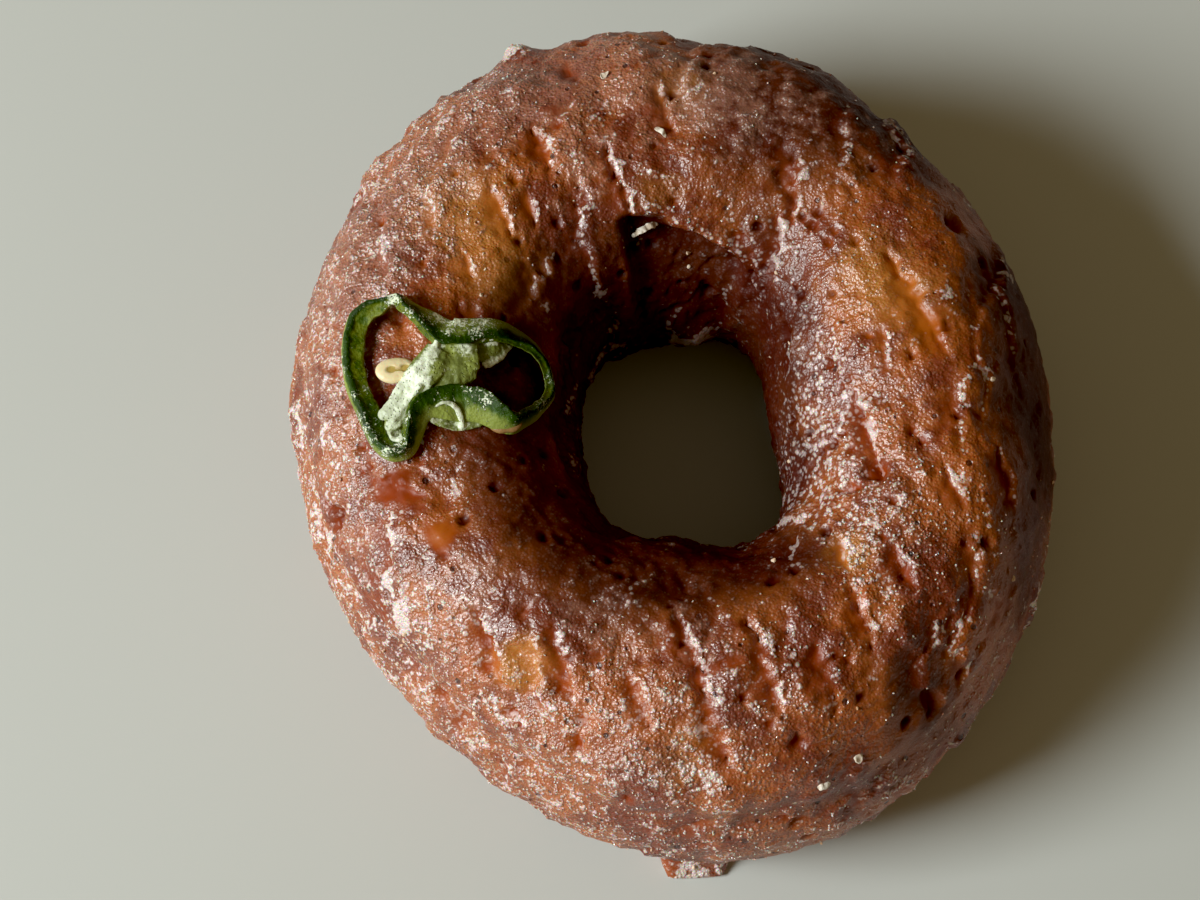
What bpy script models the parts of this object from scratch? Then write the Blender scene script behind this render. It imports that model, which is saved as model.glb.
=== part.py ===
"""A glazed cider doughnut with one dried slice of green chilli lying on its crown.

The doughnut is a closed ring of fried dough: an oval outline, a squarish hole, a domed
crown and a flat foot. Crevices, pits and lumps stand in its surface. The chilli slice is a
thin wall that runs round two loops, with a pale web and two seeds inside it.

Metres, +Z up, +Y along the ring's longer side. The origin is under the middle of the ring,
on the surface that the doughnut stands on.
"""

import math
import random

import bpy
import numpy as np
from mathutils import Vector, noise
from mathutils.bvhtree import BVHTree

MM = 0.001
DEG = math.pi / 180
TINY = 1e-12

# The ring: mean radii, and lobes as (number of lobes, size, bearing of the first one)
OUTER_RADIUS = 39.5 * MM
OUTER_LOBES = ((1, 0.4 * MM, 72), (2, 2.7 * MM, 107), (3, 0.35 * MM, 41), (4, 0.4 * MM, 15))
HOLE_RADIUS = 11.4 * MM
HOLE_LOBES = (
    (1, 1.0 * MM, -32),
    (2, 1.4 * MM, 97),
    (3, 0.6 * MM, 66),
    (4, 0.7 * MM, 48),
    (6, 0.3 * MM, 3),
)
RING_HEIGHT = 30 * MM
WAIST_HEIGHT = 12.5 * MM
FOOT_CUT = 1 * MM
SECTION_POWER = 2.25

# The grid: columns round the ring, and rows round its section, closer over the crown
COLUMNS = 128
CROWN_ROWS = 30
CROWN_FROM = -18 * DEG
CROWN_TO = 195 * DEG
UNDER_ROWS = 12

# Lumps in the crust, as (size of a lump, height), which are lower on the flanks than on the
# crown. No relief reaches the foot's flat band.
LUMPS = ((13 * MM, 0.9 * MM), (6 * MM, 0.5 * MM), (3 * MM, 0.25 * MM))
FLANK_LUMPS = 0.4
FLANK_TOP = 14 * MM
CROWN_FLOOR = 25 * MM
RELIEF_STARTS = 0.4 * MM
RELIEF_FULL = 3 * MM

# Crevices, as (bearing, inner reach, outer reach, drift in degrees, width, depth), in mm
CREVICES = (
    (119, 25.3, 29.2, -1, 1.3, 1.1),
    (137, 21.7, 26.6, -5, 1.2, 0.9),
    (104, 18.4, 25.3, 2, 1.1, 1.2),
    (107, 32.9, 36.4, 0, 1.0, 0.7),
    (90, 25.4, 30.6, 3, 1.3, 1.0),
    (152, 22.0, 24.1, -4, 0.9, 0.6),
    (130, 20.9, 23.1, -2, 0.9, 0.6),
    (57, 20.5, 26.1, 6, 1.4, 1.4),
    (53, 15.5, 19.1, 6, 1.3, 1.2),
    (6, 25.3, 24.1, 24, 1.8, 1.2),
    (-5, 16.8, 20.3, -20, 1.4, 1.2),
    (3, 19.8, 20.0, 10, 0.9, 0.6),
    (-20, 26.5, 28.9, -5, 1.4, 0.6),
    (-48, 22.0, 24.0, -2, 1.2, 1.0),
    (-41, 26.4, 29.7, -3, 1.3, 1.0),
    (-14, 31.1, 33.2, -6, 1.6, 0.9),
    (-53, 26.8, 31.9, -3, 1.2, 1.2),
    (-75, 25.7, 33.2, 1, 1.4, 1.2),
    (-65, 29.6, 35.4, -1, 1.2, 1.0),
    (-90, 24.1, 29.3, 4, 1.3, 0.9),
    (-87, 30.0, 37.0, 4, 1.5, 1.3),
    (-99, 29.5, 33.6, 4, 1.3, 1.2),
    (-86, 29.3, 28.8, 8, 1.0, 0.7),
    (-115, 27.5, 32.9, 8, 1.2, 1.1),
    (-128, 29.8, 33.3, 8, 1.5, 1.2),
    (-163, 34.9, 34.7, 7, 1.6, 1.2),
    (-161, 30.0, 27.0, 7, 1.8, 1.0),
)
CREVICE_RIM = 0.22
CREVICE_RIM_AT = 1.5
CREVICE_RIM_WIDTH = 0.6

# Larger pits, scattered by a seeded rule: how many, their widths, and depth as a share of width
PITS = 70
PIT_SEED = 11
PIT_WIDTHS = (0.8 * MM, 1.7 * MM)
PIT_DEPTH = 0.6

# The torn crust over the hole: its edge runs between two bearings and two reaches, and the
# wall of the hole sits back below it
TEAR_FROM = 62 * DEG
TEAR_TO = 110 * DEG
TEAR_EDGE_FROM = 15.2 * MM
TEAR_EDGE_TO = 18.6 * MM
TEAR_FADE = 0.12
TEAR_DEPTH = 2.4 * MM
TEAR_STEP = 2.2 * MM
TEAR_FLOOR = 8.5 * MM
TEAR_INSIDE = (90 * DEG, 210 * DEG)
TEAR_LIP = 0.4 * MM
TEAR_LIP_WIDTH = 1 * MM

# The seam round the outside, where the two fried halves meet, deepest on one side, and the
# slightly fuller flank below it
SEAM_AT = 22 * DEG
SEAM_WIDTH = 7 * DEG
SEAM_DEPTH = 0.9 * MM
SEAM_BEARING = -80 * DEG
SEAM_SPREAD = 86 * DEG
SEAM_ELSEWHERE = 0.35
SKIRT_AT = 4 * DEG
SKIRT_WIDTH = 14 * DEG
SKIRT_SIZE = 0.35 * MM

# The hardened run of glaze at the foot, and the bleb on the far flank
FOOT_BEARING = -87 * DEG
FOOT_SPREAD = 7.5 * DEG
FOOT_CORE = 3.4 * DEG
FOOT_REACH = 41.9 * MM
FOOT_AT = -58 * DEG
FOOT_ROWS = 22 * DEG
FOOT_SINK = 0.55
BLEB_PLACE = (-14.4 * MM, 37.8 * MM, 22.2 * MM)
BLEB_SIZE = 1.9 * MM
BLEB_HEIGHT = 1.1 * MM

# The chilli's wall: its cut rim from above as (x, y, lean towards the middle in degrees,
# thickness, height from foot to rim), in mm
RIM = (
    (-26.5, 7.3, 20, 1.1, 1.9),
    (-27.8, 7.1, 18, 1.4, 1.7),
    (-29.1, 6.9, 18, 1.7, 1.6),
    (-30.1, 6.4, 18, 1.8, 1.5),
    (-30.9, 5.4, 18, 1.9, 1.5),
    (-31.3, 2.6, 18, 1.8, 1.5),
    (-30.8, -1.1, 18, 1.7, 1.5),
    (-29.6, -4.1, 18, 1.7, 1.5),
    (-28.5, -6.6, 18, 1.5, 1.6),
    (-27.7, -7.7, 16, 1.4, 1.7),
    (-26.8, -8.3, 16, 1.2, 1.8),
    (-25.8, -8.2, 18, 1.1, 1.9),
    (-25.2, -7.6, 24, 1.0, 2.0),
    (-25.1, -6.0, 40, 1.0, 2.2),
    (-24.9, -4.5, 48, 0.9, 2.4),
    (-24.2, -3.3, 56, 0.9, 2.8),
    (-23.2, -2.5, 62, 0.9, 3.1),
    (-22.0, -2.1, 66, 0.9, 3.2),
    (-20.4, -1.9, 66, 0.9, 3.3),
    (-18.1, -2.4, 62, 0.9, 3.2),
    (-16.2, -4.0, 50, 0.8, 2.6),
    (-15.3, -4.7, 34, 0.8, 2.3),
    (-14.5, -4.5, 16, 0.8, 2.1),
    (-13.6, -3.5, 6, 0.8, 2.0),
    (-12.4, -1.4, 0, 0.8, 2.0),
    (-12.1, 0.1, 0, 0.8, 2.0),
    (-12.7, 1.9, 10, 0.8, 2.2),
    (-13.4, 2.6, 20, 0.8, 2.3),
    (-14.2, 3.1, 34, 0.8, 2.5),
    (-16.4, 3.3, 58, 0.8, 2.6),
    (-18.4, 2.9, 68, 0.9, 2.8),
    (-20.4, 2.2, 72, 0.9, 3.1),
    (-22.5, 2.4, 66, 0.9, 3.1),
    (-23.5, 3.4, 60, 0.9, 2.9),
    (-24.5, 4.6, 50, 0.9, 2.6),
    (-25.7, 6.1, 32, 1.0, 2.2),
)
RIM_STATIONS = 96
WALL_TURNING = 3
WALL_TIP = 0.85
WALL_BELLY = 1.1
CLEARANCE = 0.42 * MM

# The web inside the wall, as runs of (x, y, height over the crust, half width, half
# thickness), in mm: across the middle, into the near corner, to the far loop, a fold at its
# edge, and the flap of flesh under the near wall
WEB_RUNS = (
    (
        (-20.7, 3.3, 1.2, 1.9, 0.35),
        (-20.8, 1.9, 1.4, 1.9, 0.4),
        (-20.6, 0.4, 1.4, 1.8, 0.4),
        (-20.4, -0.8, 1.2, 1.7, 0.4),
        (-20.3, -1.8, 1.0, 1.6, 0.35),
    ),
    (
        (-22.0, 1.5, 1.4, 1.3, 0.4),
        (-23.2, -0.2, 1.5, 1.5, 0.45),
        (-24.6, -1.8, 1.5, 1.3, 0.45),
        (-25.6, -3.1, 1.5, 1.1, 0.4),
        (-26.3, -4.6, 1.4, 1.0, 0.4),
        (-26.5, -6.0, 1.2, 0.9, 0.4),
        (-26.1, -7.1, 1.0, 0.8, 0.4),
    ),
    (
        (-19.9, 1.8, 1.3, 1.2, 0.35),
        (-18.6, 2.1, 1.3, 1.1, 0.35),
        (-17.3, 2.9, 1.3, 0.9, 0.3),
        (-16.1, 3.4, 1.2, 0.4, 0.3),
    ),
    (
        (-18.3, 0.5, 1.3, 0.35, 0.3),
        (-17.7, 1.1, 1.4, 0.55, 0.3),
        (-16.9, 1.9, 1.4, 0.6, 0.3),
        (-16.3, 2.7, 1.4, 0.45, 0.3),
        (-15.7, 3.3, 1.3, 0.3, 0.25),
    ),
    (
        (-23.6, -4.3, 0.7, 0.4, 0.25),
        (-22.6, -4.7, 0.7, 0.8, 0.25),
        (-21.3, -4.8, 0.6, 1.0, 0.25),
        (-20.2, -4.8, 0.6, 1.0, 0.25),
        (-18.9, -4.6, 0.6, 0.9, 0.25),
        (-17.6, -4.2, 0.6, 0.6, 0.25),
    ),
)
WEB_STATIONS = 12
WEB_SIDES = 10
CURVE_STEPS = 12

# The seeds, as (x, y, height over the crust, length, width, thickness, turn), in mm and degrees
SEEDS = (
    (-26.2, -0.1, 1.2, 3.8, 2.7, 0.9, 4),
    (-16.1, -4.8, 0.8, 3.2, 2.7, 0.8, 0),
)
SEED_SEGMENTS = 14
SEED_RINGS = 8
SEED_REACH = (1.5 * MM, 1 * MM)

CRUST_BROWN = (0.36, 0.11, 0.035, 1)
CRUST_ROUGHNESS = 0.45
CHILLI_GREEN = (0.16, 0.30, 0.05, 1)
CHILLI_ROUGHNESS = 0.35


def clear_scene():
    for thing in list(bpy.data.objects):
        bpy.data.objects.remove(thing, do_unlink=True)


def make_material(name, colour, roughness):
    """A Principled material of one colour."""
    material = bpy.data.materials.new(name)
    material.use_nodes = True
    shader = material.node_tree.nodes["Principled BSDF"]
    shader.inputs["Base Color"].default_value = colour
    shader.inputs["Roughness"].default_value = roughness
    return material


def smooth_step(low, high, value):
    share = np.clip((value - low) / (high - low), 0, 1)
    return share * share * (3 - 2 * share)


def bump(value):
    """1 at zero, falling off to nothing by about 2."""
    return np.exp(-value * value)


def angle_between(a, b):
    return (a - b + math.pi) % (2 * math.pi) - math.pi


def lobed(radius, lobes, bearing):
    total = radius + 0 * bearing
    for count, size, first in lobes:
        total = total + size * np.cos(count * (bearing - first * DEG))
    return total


def section_turns():
    """Angles round the section, from the waist outside, over the crown, and back underneath."""
    crown = np.linspace(CROWN_FROM, CROWN_TO, CROWN_ROWS, endpoint=False)
    under = np.linspace(CROWN_TO, CROWN_FROM + 2 * math.pi, UNDER_ROWS, endpoint=False)
    return np.concatenate([crown, under])


def ring_surface(bearing, turn):
    """The smooth ring's points, for arrays of bearings and of section angles."""
    outer = lobed(OUTER_RADIUS, OUTER_LOBES, bearing)
    inner = lobed(HOLE_RADIUS, HOLE_LOBES, bearing)
    across = np.sign(np.cos(turn)) * np.abs(np.cos(turn)) ** (2 / SECTION_POWER)
    up = np.sign(np.sin(turn)) * np.abs(np.sin(turn)) ** (2 / SECTION_POWER)
    radius = (outer + inner) / 2 + (outer - inner) / 2 * across
    above = WAIST_HEIGHT + (RING_HEIGHT - WAIST_HEIGHT) * up
    below = WAIST_HEIGHT + (WAIST_HEIGHT + FOOT_CUT) * up
    height = np.maximum(np.where(up > 0, above, below), 0)
    return np.stack([radius * np.cos(bearing), radius * np.sin(bearing), height], -1)


def crown_point(bearing, reach):
    """The point of the smooth crown at a bearing and a distance from the middle of the hole."""
    outer = lobed(OUTER_RADIUS, OUTER_LOBES, bearing)
    inner = lobed(HOLE_RADIUS, HOLE_LOBES, bearing)
    across = np.clip((2 * reach - outer - inner) / (outer - inner), -1, 1)
    turn = math.acos(math.copysign(abs(across) ** (SECTION_POWER / 2), across))
    return ring_surface(np.array(bearing), np.array(turn))


def grid_normals(points):
    """Outward normals of a grid that closes both ways."""
    along = np.roll(points, -1, 0) - np.roll(points, 1, 0)
    round_section = np.roll(points, -1, 1) - np.roll(points, 1, 1)
    normal = np.cross(along, round_section)
    return normal / np.maximum(np.linalg.norm(normal, axis=-1, keepdims=True), TINY)


def lump_relief(points):
    heights = np.zeros(points.shape[:2])
    for size, height in LUMPS:
        values = [noise.noise(Vector(p / size)) for p in points.reshape(-1, 3)]
        heights += height * np.array(values).reshape(heights.shape)
    crown = smooth_step(FLANK_TOP, CROWN_FLOOR, points[..., 2])
    return heights * (FLANK_LUMPS + (1 - FLANK_LUMPS) * crown)


def distance_to_line(points, start, end):
    span = end - start
    share = np.clip((points - start) @ span / max(span @ span, TINY), 0, 1)
    return np.linalg.norm(points - start - share[..., None] * span, axis=-1)


def crevice_relief(points):
    """Grooves that run across the crown, each with a low rim on both sides."""
    heights = np.zeros(points.shape[:2])
    for bearing, inner, outer, drift, width, depth in CREVICES:
        start = crown_point(bearing * DEG, inner * MM)
        end = crown_point((bearing + drift) * DEG, outer * MM)
        away = distance_to_line(points, start, end) / (width * MM)
        rim = CREVICE_RIM * bump((away - CREVICE_RIM_AT) / CREVICE_RIM_WIDTH)
        heights += depth * MM * (rim - bump(away))
    return heights


def pit_relief(points):
    heights = np.zeros(points.shape[:2])
    draw = random.Random(PIT_SEED)
    for _ in range(PITS):
        bearing = draw.uniform(0, 2 * math.pi)
        turn = draw.uniform(0, math.pi)
        width = draw.uniform(*PIT_WIDTHS)
        middle = ring_surface(np.array(bearing), np.array(turn))
        away = np.linalg.norm(points - middle, axis=-1) / width
        heights -= PIT_DEPTH * width * bump(away)
    return heights


def tear_relief(points, bearing, turn):
    """The torn edge over the hole: the wall under it sits back, and the edge stands up."""
    share = (bearing % (2 * math.pi) - TEAR_FROM) / (TEAR_TO - TEAR_FROM)
    edge = TEAR_EDGE_FROM + (TEAR_EDGE_TO - TEAR_EDGE_FROM) * np.clip(share, 0, 1)
    spans = smooth_step(0, TEAR_FADE, share) * smooth_step(1, 1 - TEAR_FADE, share)
    inwards = edge - np.hypot(points[..., 0], points[..., 1])
    inside = (turn > TEAR_INSIDE[0]) & (turn < TEAR_INSIDE[1])
    recess = smooth_step(0, TEAR_STEP, inwards)
    recess = recess * smooth_step(TEAR_FLOOR, RING_HEIGHT, points[..., 2])
    lip = bump(inwards / TEAR_LIP_WIDTH + 1)
    return inside * spans * (TEAR_LIP * lip - TEAR_DEPTH * recess)


def seam_relief(bearing, turn):
    near = bump(angle_between(bearing, SEAM_BEARING) / SEAM_SPREAD)
    groove = bump(angle_between(turn, SEAM_AT) / SEAM_WIDTH)
    skirt = bump(angle_between(turn, SKIRT_AT) / SKIRT_WIDTH)
    strength = SEAM_ELSEWHERE + (1 - SEAM_ELSEWHERE) * near
    return strength * (SKIRT_SIZE * skirt - SEAM_DEPTH * groove)


def bleb_relief(points):
    away = np.linalg.norm(points - np.array(BLEB_PLACE), axis=-1)
    return BLEB_HEIGHT * bump(away / BLEB_SIZE)


def draw_out_foot(points, bearing, turn):
    """Draws the foot out to the hardened run of glaze, which lies flat."""
    away = np.abs(angle_between(bearing, FOOT_BEARING))
    share = smooth_step(FOOT_SPREAD, FOOT_CORE, away)
    share = share * bump(angle_between(turn, FOOT_AT) / FOOT_ROWS)
    grown = 1 + share * (FOOT_REACH / np.hypot(points[..., 0], points[..., 1]) - 1)
    return points * np.stack([grown, grown, 1 - FOOT_SINK * share], -1)


def ring_points():
    bearings = np.linspace(0, 2 * math.pi, COLUMNS, endpoint=False)
    bearing, turn = np.meshgrid(bearings, section_turns(), indexing="ij")
    smooth = ring_surface(bearing, turn)
    relief = lump_relief(smooth) + crevice_relief(smooth) + pit_relief(smooth)
    relief += bleb_relief(smooth) + tear_relief(smooth, bearing, turn) + seam_relief(bearing, turn)
    relief *= smooth_step(RELIEF_STARTS, RELIEF_FULL, smooth[..., 2])
    points = smooth + relief[..., None] * grid_normals(smooth)
    points = draw_out_foot(points, bearing, turn)
    points[..., 2] = np.maximum(points[..., 2], 0)
    return points


def ring_triangles(columns, rows):
    """Two triangles for each cell of a grid that closes both ways."""
    triangles = []
    for i in range(columns):
        for j in range(rows):
            a = i * rows + j
            b = (i + 1) % columns * rows + j
            c = (i + 1) % columns * rows + (j + 1) % rows
            d = i * rows + (j + 1) % rows
            triangles += [(a, b, c), (a, c, d)]
    return triangles


def tube_triangles(stations, sides):
    """Triangles of an open tube of rings, closed at both ends by a fan."""
    triangles = []
    for i in range(stations - 1):
        for j in range(sides):
            a = i * sides + j
            b = (i + 1) * sides + j
            c = (i + 1) * sides + (j + 1) % sides
            d = i * sides + (j + 1) % sides
            triangles += [(a, b, c), (a, c, d)]
    last = (stations - 1) * sides
    for j in range(1, sides - 1):
        triangles += [(0, j, j + 1), (last, last + j + 1, last + j)]
    return triangles


def make_solid(name, points, triangles, material, collection):
    mesh = bpy.data.meshes.new(name)
    mesh.from_pydata([tuple(p) for p in points], [], triangles)
    mesh.materials.append(material)
    mesh.shade_smooth()
    thing = bpy.data.objects.new(name, mesh)
    collection.objects.link(thing)
    return thing


def curve_through(points, count, closed):
    """Rows spread evenly along a smooth curve through the given ones, by their x and y."""
    points = np.array(points, float)
    total = len(points)
    samples = []
    for i in range(total if closed else total - 1):
        near = np.arange(i - 1, i + 3)
        near = near % total if closed else np.clip(near, 0, total - 1)
        before, start, end, after = points[near]
        for share in np.linspace(0, 1, CURVE_STEPS, endpoint=False):
            bend = (2 * before - 5 * start + 4 * end - after) * share**2
            twist = (3 * start - before - 3 * end + after) * share**3
            samples.append(start + 0.5 * ((end - before) * share + bend + twist))
    samples.append(points[0] if closed else points[-1])
    samples = np.array(samples)
    steps = np.linalg.norm(np.diff(samples[:, :2], axis=0), axis=1)
    travel = np.concatenate([[0], np.cumsum(steps)])
    wanted = np.linspace(0, travel[-1], count, endpoint=not closed)
    return np.stack([np.interp(wanted, travel, column) for column in samples.T], 1)


def crust_under(tree, x, y):
    """Height of the crust straight under a place."""
    hit = tree.ray_cast(Vector((x, y, 2 * RING_HEIGHT)), Vector((0, 0, -1)))[0]
    return hit.z if hit else WAIST_HEIGHT


def lift_to_clear(sections, tree):
    """How far each ring of points has to rise for all of it to be clear of the crust."""
    lift = [max(crust_under(tree, p[0], p[1]) - p[2] for p in ring) for ring in sections]
    return np.array(lift) + CLEARANCE


def smooth_round(rows, reach):
    """A closed list of rows, each the mean of its neighbours up to reach away."""
    return np.mean([np.roll(rows, k, 0) for k in range(-reach, reach + 1)], axis=0)


def wall_sections(tree):
    """Rings of points round the wall's section, one for each station along its rim."""
    path = curve_through(RIM, RIM_STATIONS, True)
    plan = path[:, :2] * MM
    along = smooth_round(np.roll(plan, -1, 0) - np.roll(plan, 1, 0), WALL_TURNING)
    along /= np.linalg.norm(along, axis=1, keepdims=True)
    inward = np.stack([-along[:, 1], along[:, 0]], 1)
    sections = []
    for place, side, (lean, thick, height) in zip(plan, inward, path[:, 2:] * (DEG, MM, MM)):
        rise = np.array([*(math.sin(lean) * side), math.cos(lean)])
        face = np.array([*(math.cos(lean) * side), -math.sin(lean)])
        rim = np.array([*place, 0.0])
        foot = rim - height * rise
        middle = (rim + foot) / 2
        skin = [foot, middle - (WALL_BELLY - 1) * thick * face, rim]
        tip = rim + WALL_TIP * thick * face
        flesh = [tip, middle + WALL_BELLY * thick * face, foot + thick * face]
        sections.append(skin + flesh)
    sections = np.array(sections)
    lift = lift_to_clear(sections, tree)
    highest = np.max([np.roll(lift, k) for k in (-2, -1, 0, 1, 2)], axis=0)
    sections[..., 2] += smooth_round(highest, 1)[:, None]
    return sections


def web_sections(run, tree):
    """Flattened rings of points along one run of the web."""
    path = curve_through(run, WEB_STATIONS, False) * MM
    along = np.gradient(path[:, :2], axis=0)
    along /= np.linalg.norm(along, axis=1, keepdims=True)
    turns = np.linspace(0, 2 * math.pi, WEB_SIDES, endpoint=False)
    sections = []
    for (x, y, over, half_width, half_thickness), (dx, dy) in zip(path, along):
        across = half_width * np.cos(turns)
        height = crust_under(tree, x, y) + over + half_thickness * np.sin(turns)
        sections.append(np.stack([x + dy * across, y - dx * across, height], 1))
    sections = np.array(sections)
    sections[..., 2] += np.maximum(lift_to_clear(sections, tree), 0)[:, None]
    return sections


def make_seed(index, row, tree, material, collection):
    x, y, over, length, width, thickness = [value * MM for value in row[:-1]]
    bpy.ops.mesh.primitive_uv_sphere_add(
        segments=SEED_SEGMENTS, ring_count=SEED_RINGS, radius=0.5
    )
    seed = bpy.context.object
    seed.name = f"seed_{index}"
    seed.data.materials.append(material)
    places = [(x + i * SEED_REACH[0], y + j * SEED_REACH[1]) for i in (-1, 0, 1) for j in (-1, 0, 1)]
    ground = max(crust_under(tree, *place) for place in places)
    seed.scale = (length, width, thickness)
    seed.rotation_euler = (0, 0, row[-1] * DEG)
    seed.location = (x, y, ground + over)
    for owner in list(seed.users_collection):
        owner.objects.unlink(seed)
    collection.objects.link(seed)


def make_doughnut(material, collection):
    """The ring, and a search tree of its faces for what lies on it."""
    points = ring_points()
    triangles = ring_triangles(*points.shape[:2])
    flat = points.reshape(-1, 3)
    make_solid("doughnut", flat, triangles, material, collection)
    return BVHTree.FromPolygons([tuple(p) for p in flat], triangles)


def make_chilli(material, tree, collection):
    """The wall, its web and its seeds, joined into one solid."""
    sections = wall_sections(tree)
    triangles = ring_triangles(*sections.shape[:2])
    wall = make_solid("chilli_slice", sections.reshape(-1, 3), triangles, material, collection)
    insides = bpy.data.collections.new("chilli_insides")
    collection.children.link(insides)
    for index, run in enumerate(WEB_RUNS):
        rings = web_sections(run, tree)
        triangles = tube_triangles(*rings.shape[:2])
        make_solid(f"web_{index}", rings.reshape(-1, 3), triangles, material, insides)
    for index, row in enumerate(SEEDS):
        make_seed(index, row, tree, material, insides)
    join = wall.modifiers.new("join", "BOOLEAN")
    join.operation = "UNION"
    join.operand_type = "COLLECTION"
    join.collection = insides
    join.solver = "MANIFOLD"
    bpy.context.view_layer.objects.active = wall
    bpy.ops.object.modifier_apply(modifier=join.name)
    for thing in list(insides.objects):
        bpy.data.objects.remove(thing, do_unlink=True)
    bpy.data.collections.remove(insides)


def main():
    clear_scene()
    collection = bpy.context.scene.collection
    crust = make_material("fried_crust", CRUST_BROWN, CRUST_ROUGHNESS)
    chilli = make_material("green_chilli", CHILLI_GREEN, CHILLI_ROUGHNESS)
    tree = make_doughnut(crust, collection)
    make_chilli(chilli, tree, collection)


main()
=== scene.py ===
"""The looks of a glazed cider doughnut with one dried slice of green chilli on its crown.

The crust is the frame's own ring at a finer grain: ragged crevices, pores, a torn edge over
the hole, and a thin sugar glaze that has dried to fine beads and a dull mist. The chilli slice
is made as a wall with skin outside and flesh inside, a spongy web, a flap and two seeds. Sugar
grains, crumbs and flakes lie on the crust.

Metres, +Z up. Everything rides on the frame's one body and stands where the frame's nodes do.
"""

import math
import random

import bpy
import numpy as np
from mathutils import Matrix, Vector, kdtree, noise
from mathutils.bvhtree import BVHTree


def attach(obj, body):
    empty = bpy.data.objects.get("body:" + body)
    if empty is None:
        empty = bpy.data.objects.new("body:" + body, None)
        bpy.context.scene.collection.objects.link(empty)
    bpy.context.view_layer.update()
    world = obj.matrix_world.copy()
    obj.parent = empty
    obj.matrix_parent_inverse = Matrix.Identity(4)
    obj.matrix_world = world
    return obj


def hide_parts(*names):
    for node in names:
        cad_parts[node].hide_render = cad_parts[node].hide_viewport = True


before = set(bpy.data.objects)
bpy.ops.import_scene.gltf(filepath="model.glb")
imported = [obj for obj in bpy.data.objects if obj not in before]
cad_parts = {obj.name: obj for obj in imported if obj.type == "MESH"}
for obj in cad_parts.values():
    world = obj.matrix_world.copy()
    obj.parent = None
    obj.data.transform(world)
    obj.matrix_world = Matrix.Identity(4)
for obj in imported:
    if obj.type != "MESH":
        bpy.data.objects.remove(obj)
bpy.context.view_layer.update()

bl_info = {
    "name": "Cider doughnut with a chilli slice",
    "version": (1, 0, 0),
    "blender": (4, 5, 0),
    "location": "View3D > Sidebar > Doughnut",
    "description": "Makes a glazed cider doughnut, the chilli slice on it, and a pale stage",
    "category": "Add Mesh",
}

BODY = "root"
# The frame's nodes that pieces stand for, each with its material slot
CRUST = ("doughnut", "fried_crust")
CHILLI = ("chilli_slice", "green_chilli")

MM = 0.001
DEG = math.pi / 180
TINY = 1e-12
TURN = 2 * math.pi
UP = np.array([0.0, 0.0, 1.0])

# The ring's form, as the frame's doughnut has it
OUTER_RADIUS = 39.5 * MM
OUTER_LOBES = ((1, 0.4 * MM, 72), (2, 2.7 * MM, 107), (3, 0.35 * MM, 41), (4, 0.4 * MM, 15))
HOLE_RADIUS = 11.4 * MM
HOLE_LOBES = (
    (1, 1.0 * MM, -32), (2, 1.4 * MM, 97), (3, 0.6 * MM, 66), (4, 0.7 * MM, 48), (6, 0.3 * MM, 3),
)
RING_HEIGHT = 30 * MM
WAIST_HEIGHT = 12.5 * MM
FOOT_CUT = 1 * MM
SECTION_POWER = 2.25
CROWN_FROM = -18 * DEG
CROWN_TO = 195 * DEG
TURN_SAMPLES = 4000

LUMPS = ((13 * MM, 0.9 * MM), (6 * MM, 0.5 * MM), (3 * MM, 0.25 * MM))
FLANK_LUMPS = 0.4
FLANK_TOP = 14 * MM
CROWN_FLOOR = 25 * MM
RELIEF_STARTS = 0.4 * MM
RELIEF_FULL = 3 * MM

# Crevices, as (bearing, inner reach, outer reach, drift in degrees, width, depth, how white
# the sugar on the east edge is, partly as painted highlight, for that edge faces the light), in mm
CREVICES = (
    (119, 25.3, 29.2, -1, 1.3, 1.1, 0.5), (137, 21.7, 26.6, -5, 1.2, 0.9, 0.5),
    (104, 18.4, 25.3, 2, 1.1, 1.2, 1.0), (107, 32.9, 36.4, 0, 1.0, 0.7, 0.2),
    (90, 25.4, 30.6, 3, 1.3, 1.0, 0.4), (152, 22.0, 24.1, -4, 0.9, 0.6, 0.4),
    (130, 20.9, 23.1, -2, 0.9, 0.6, 0.5), (57, 20.5, 26.1, 6, 1.4, 1.4, 0.6),
    (53, 15.5, 19.1, 6, 1.3, 1.2, 0.9), (6, 25.3, 24.1, 24, 1.8, 1.2, 0.04),
    (-5, 16.8, 20.3, -20, 1.4, 1.2, 0.8), (3, 19.8, 20.0, 10, 0.9, 0.6, 0.6),
    (-20, 26.5, 28.9, -5, 1.4, 0.6, 0.6), (-48, 22.0, 24.0, -2, 1.2, 1.0, 0.5),
    (-41, 26.4, 29.7, -3, 1.3, 1.0, 0.4), (-14, 31.1, 33.2, -6, 1.6, 0.9, 0.2),
    (-53, 26.8, 31.9, -3, 1.2, 1.2, 0.5), (-75, 25.7, 33.2, 1, 1.4, 1.2, 0.7),
    (-65, 29.6, 35.4, -1, 1.2, 1.0, 0.4), (-90, 24.1, 29.3, 4, 1.3, 0.9, 0.7),
    (-87, 30.0, 37.0, 4, 1.5, 1.3, 0.7), (-99, 29.5, 33.6, 4, 1.3, 1.2, 0.6),
    (-86, 29.3, 28.8, 8, 1.0, 0.7, 0.3), (-115, 27.5, 32.9, 8, 1.2, 1.1, 0.9),
    (-128, 29.8, 33.3, 8, 1.5, 1.2, 0.8), (-163, 34.9, 34.7, 7, 1.6, 1.2, 0.2),
    (-161, 30.0, 27.0, 7, 1.8, 0.6, 0.0),
)
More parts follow.
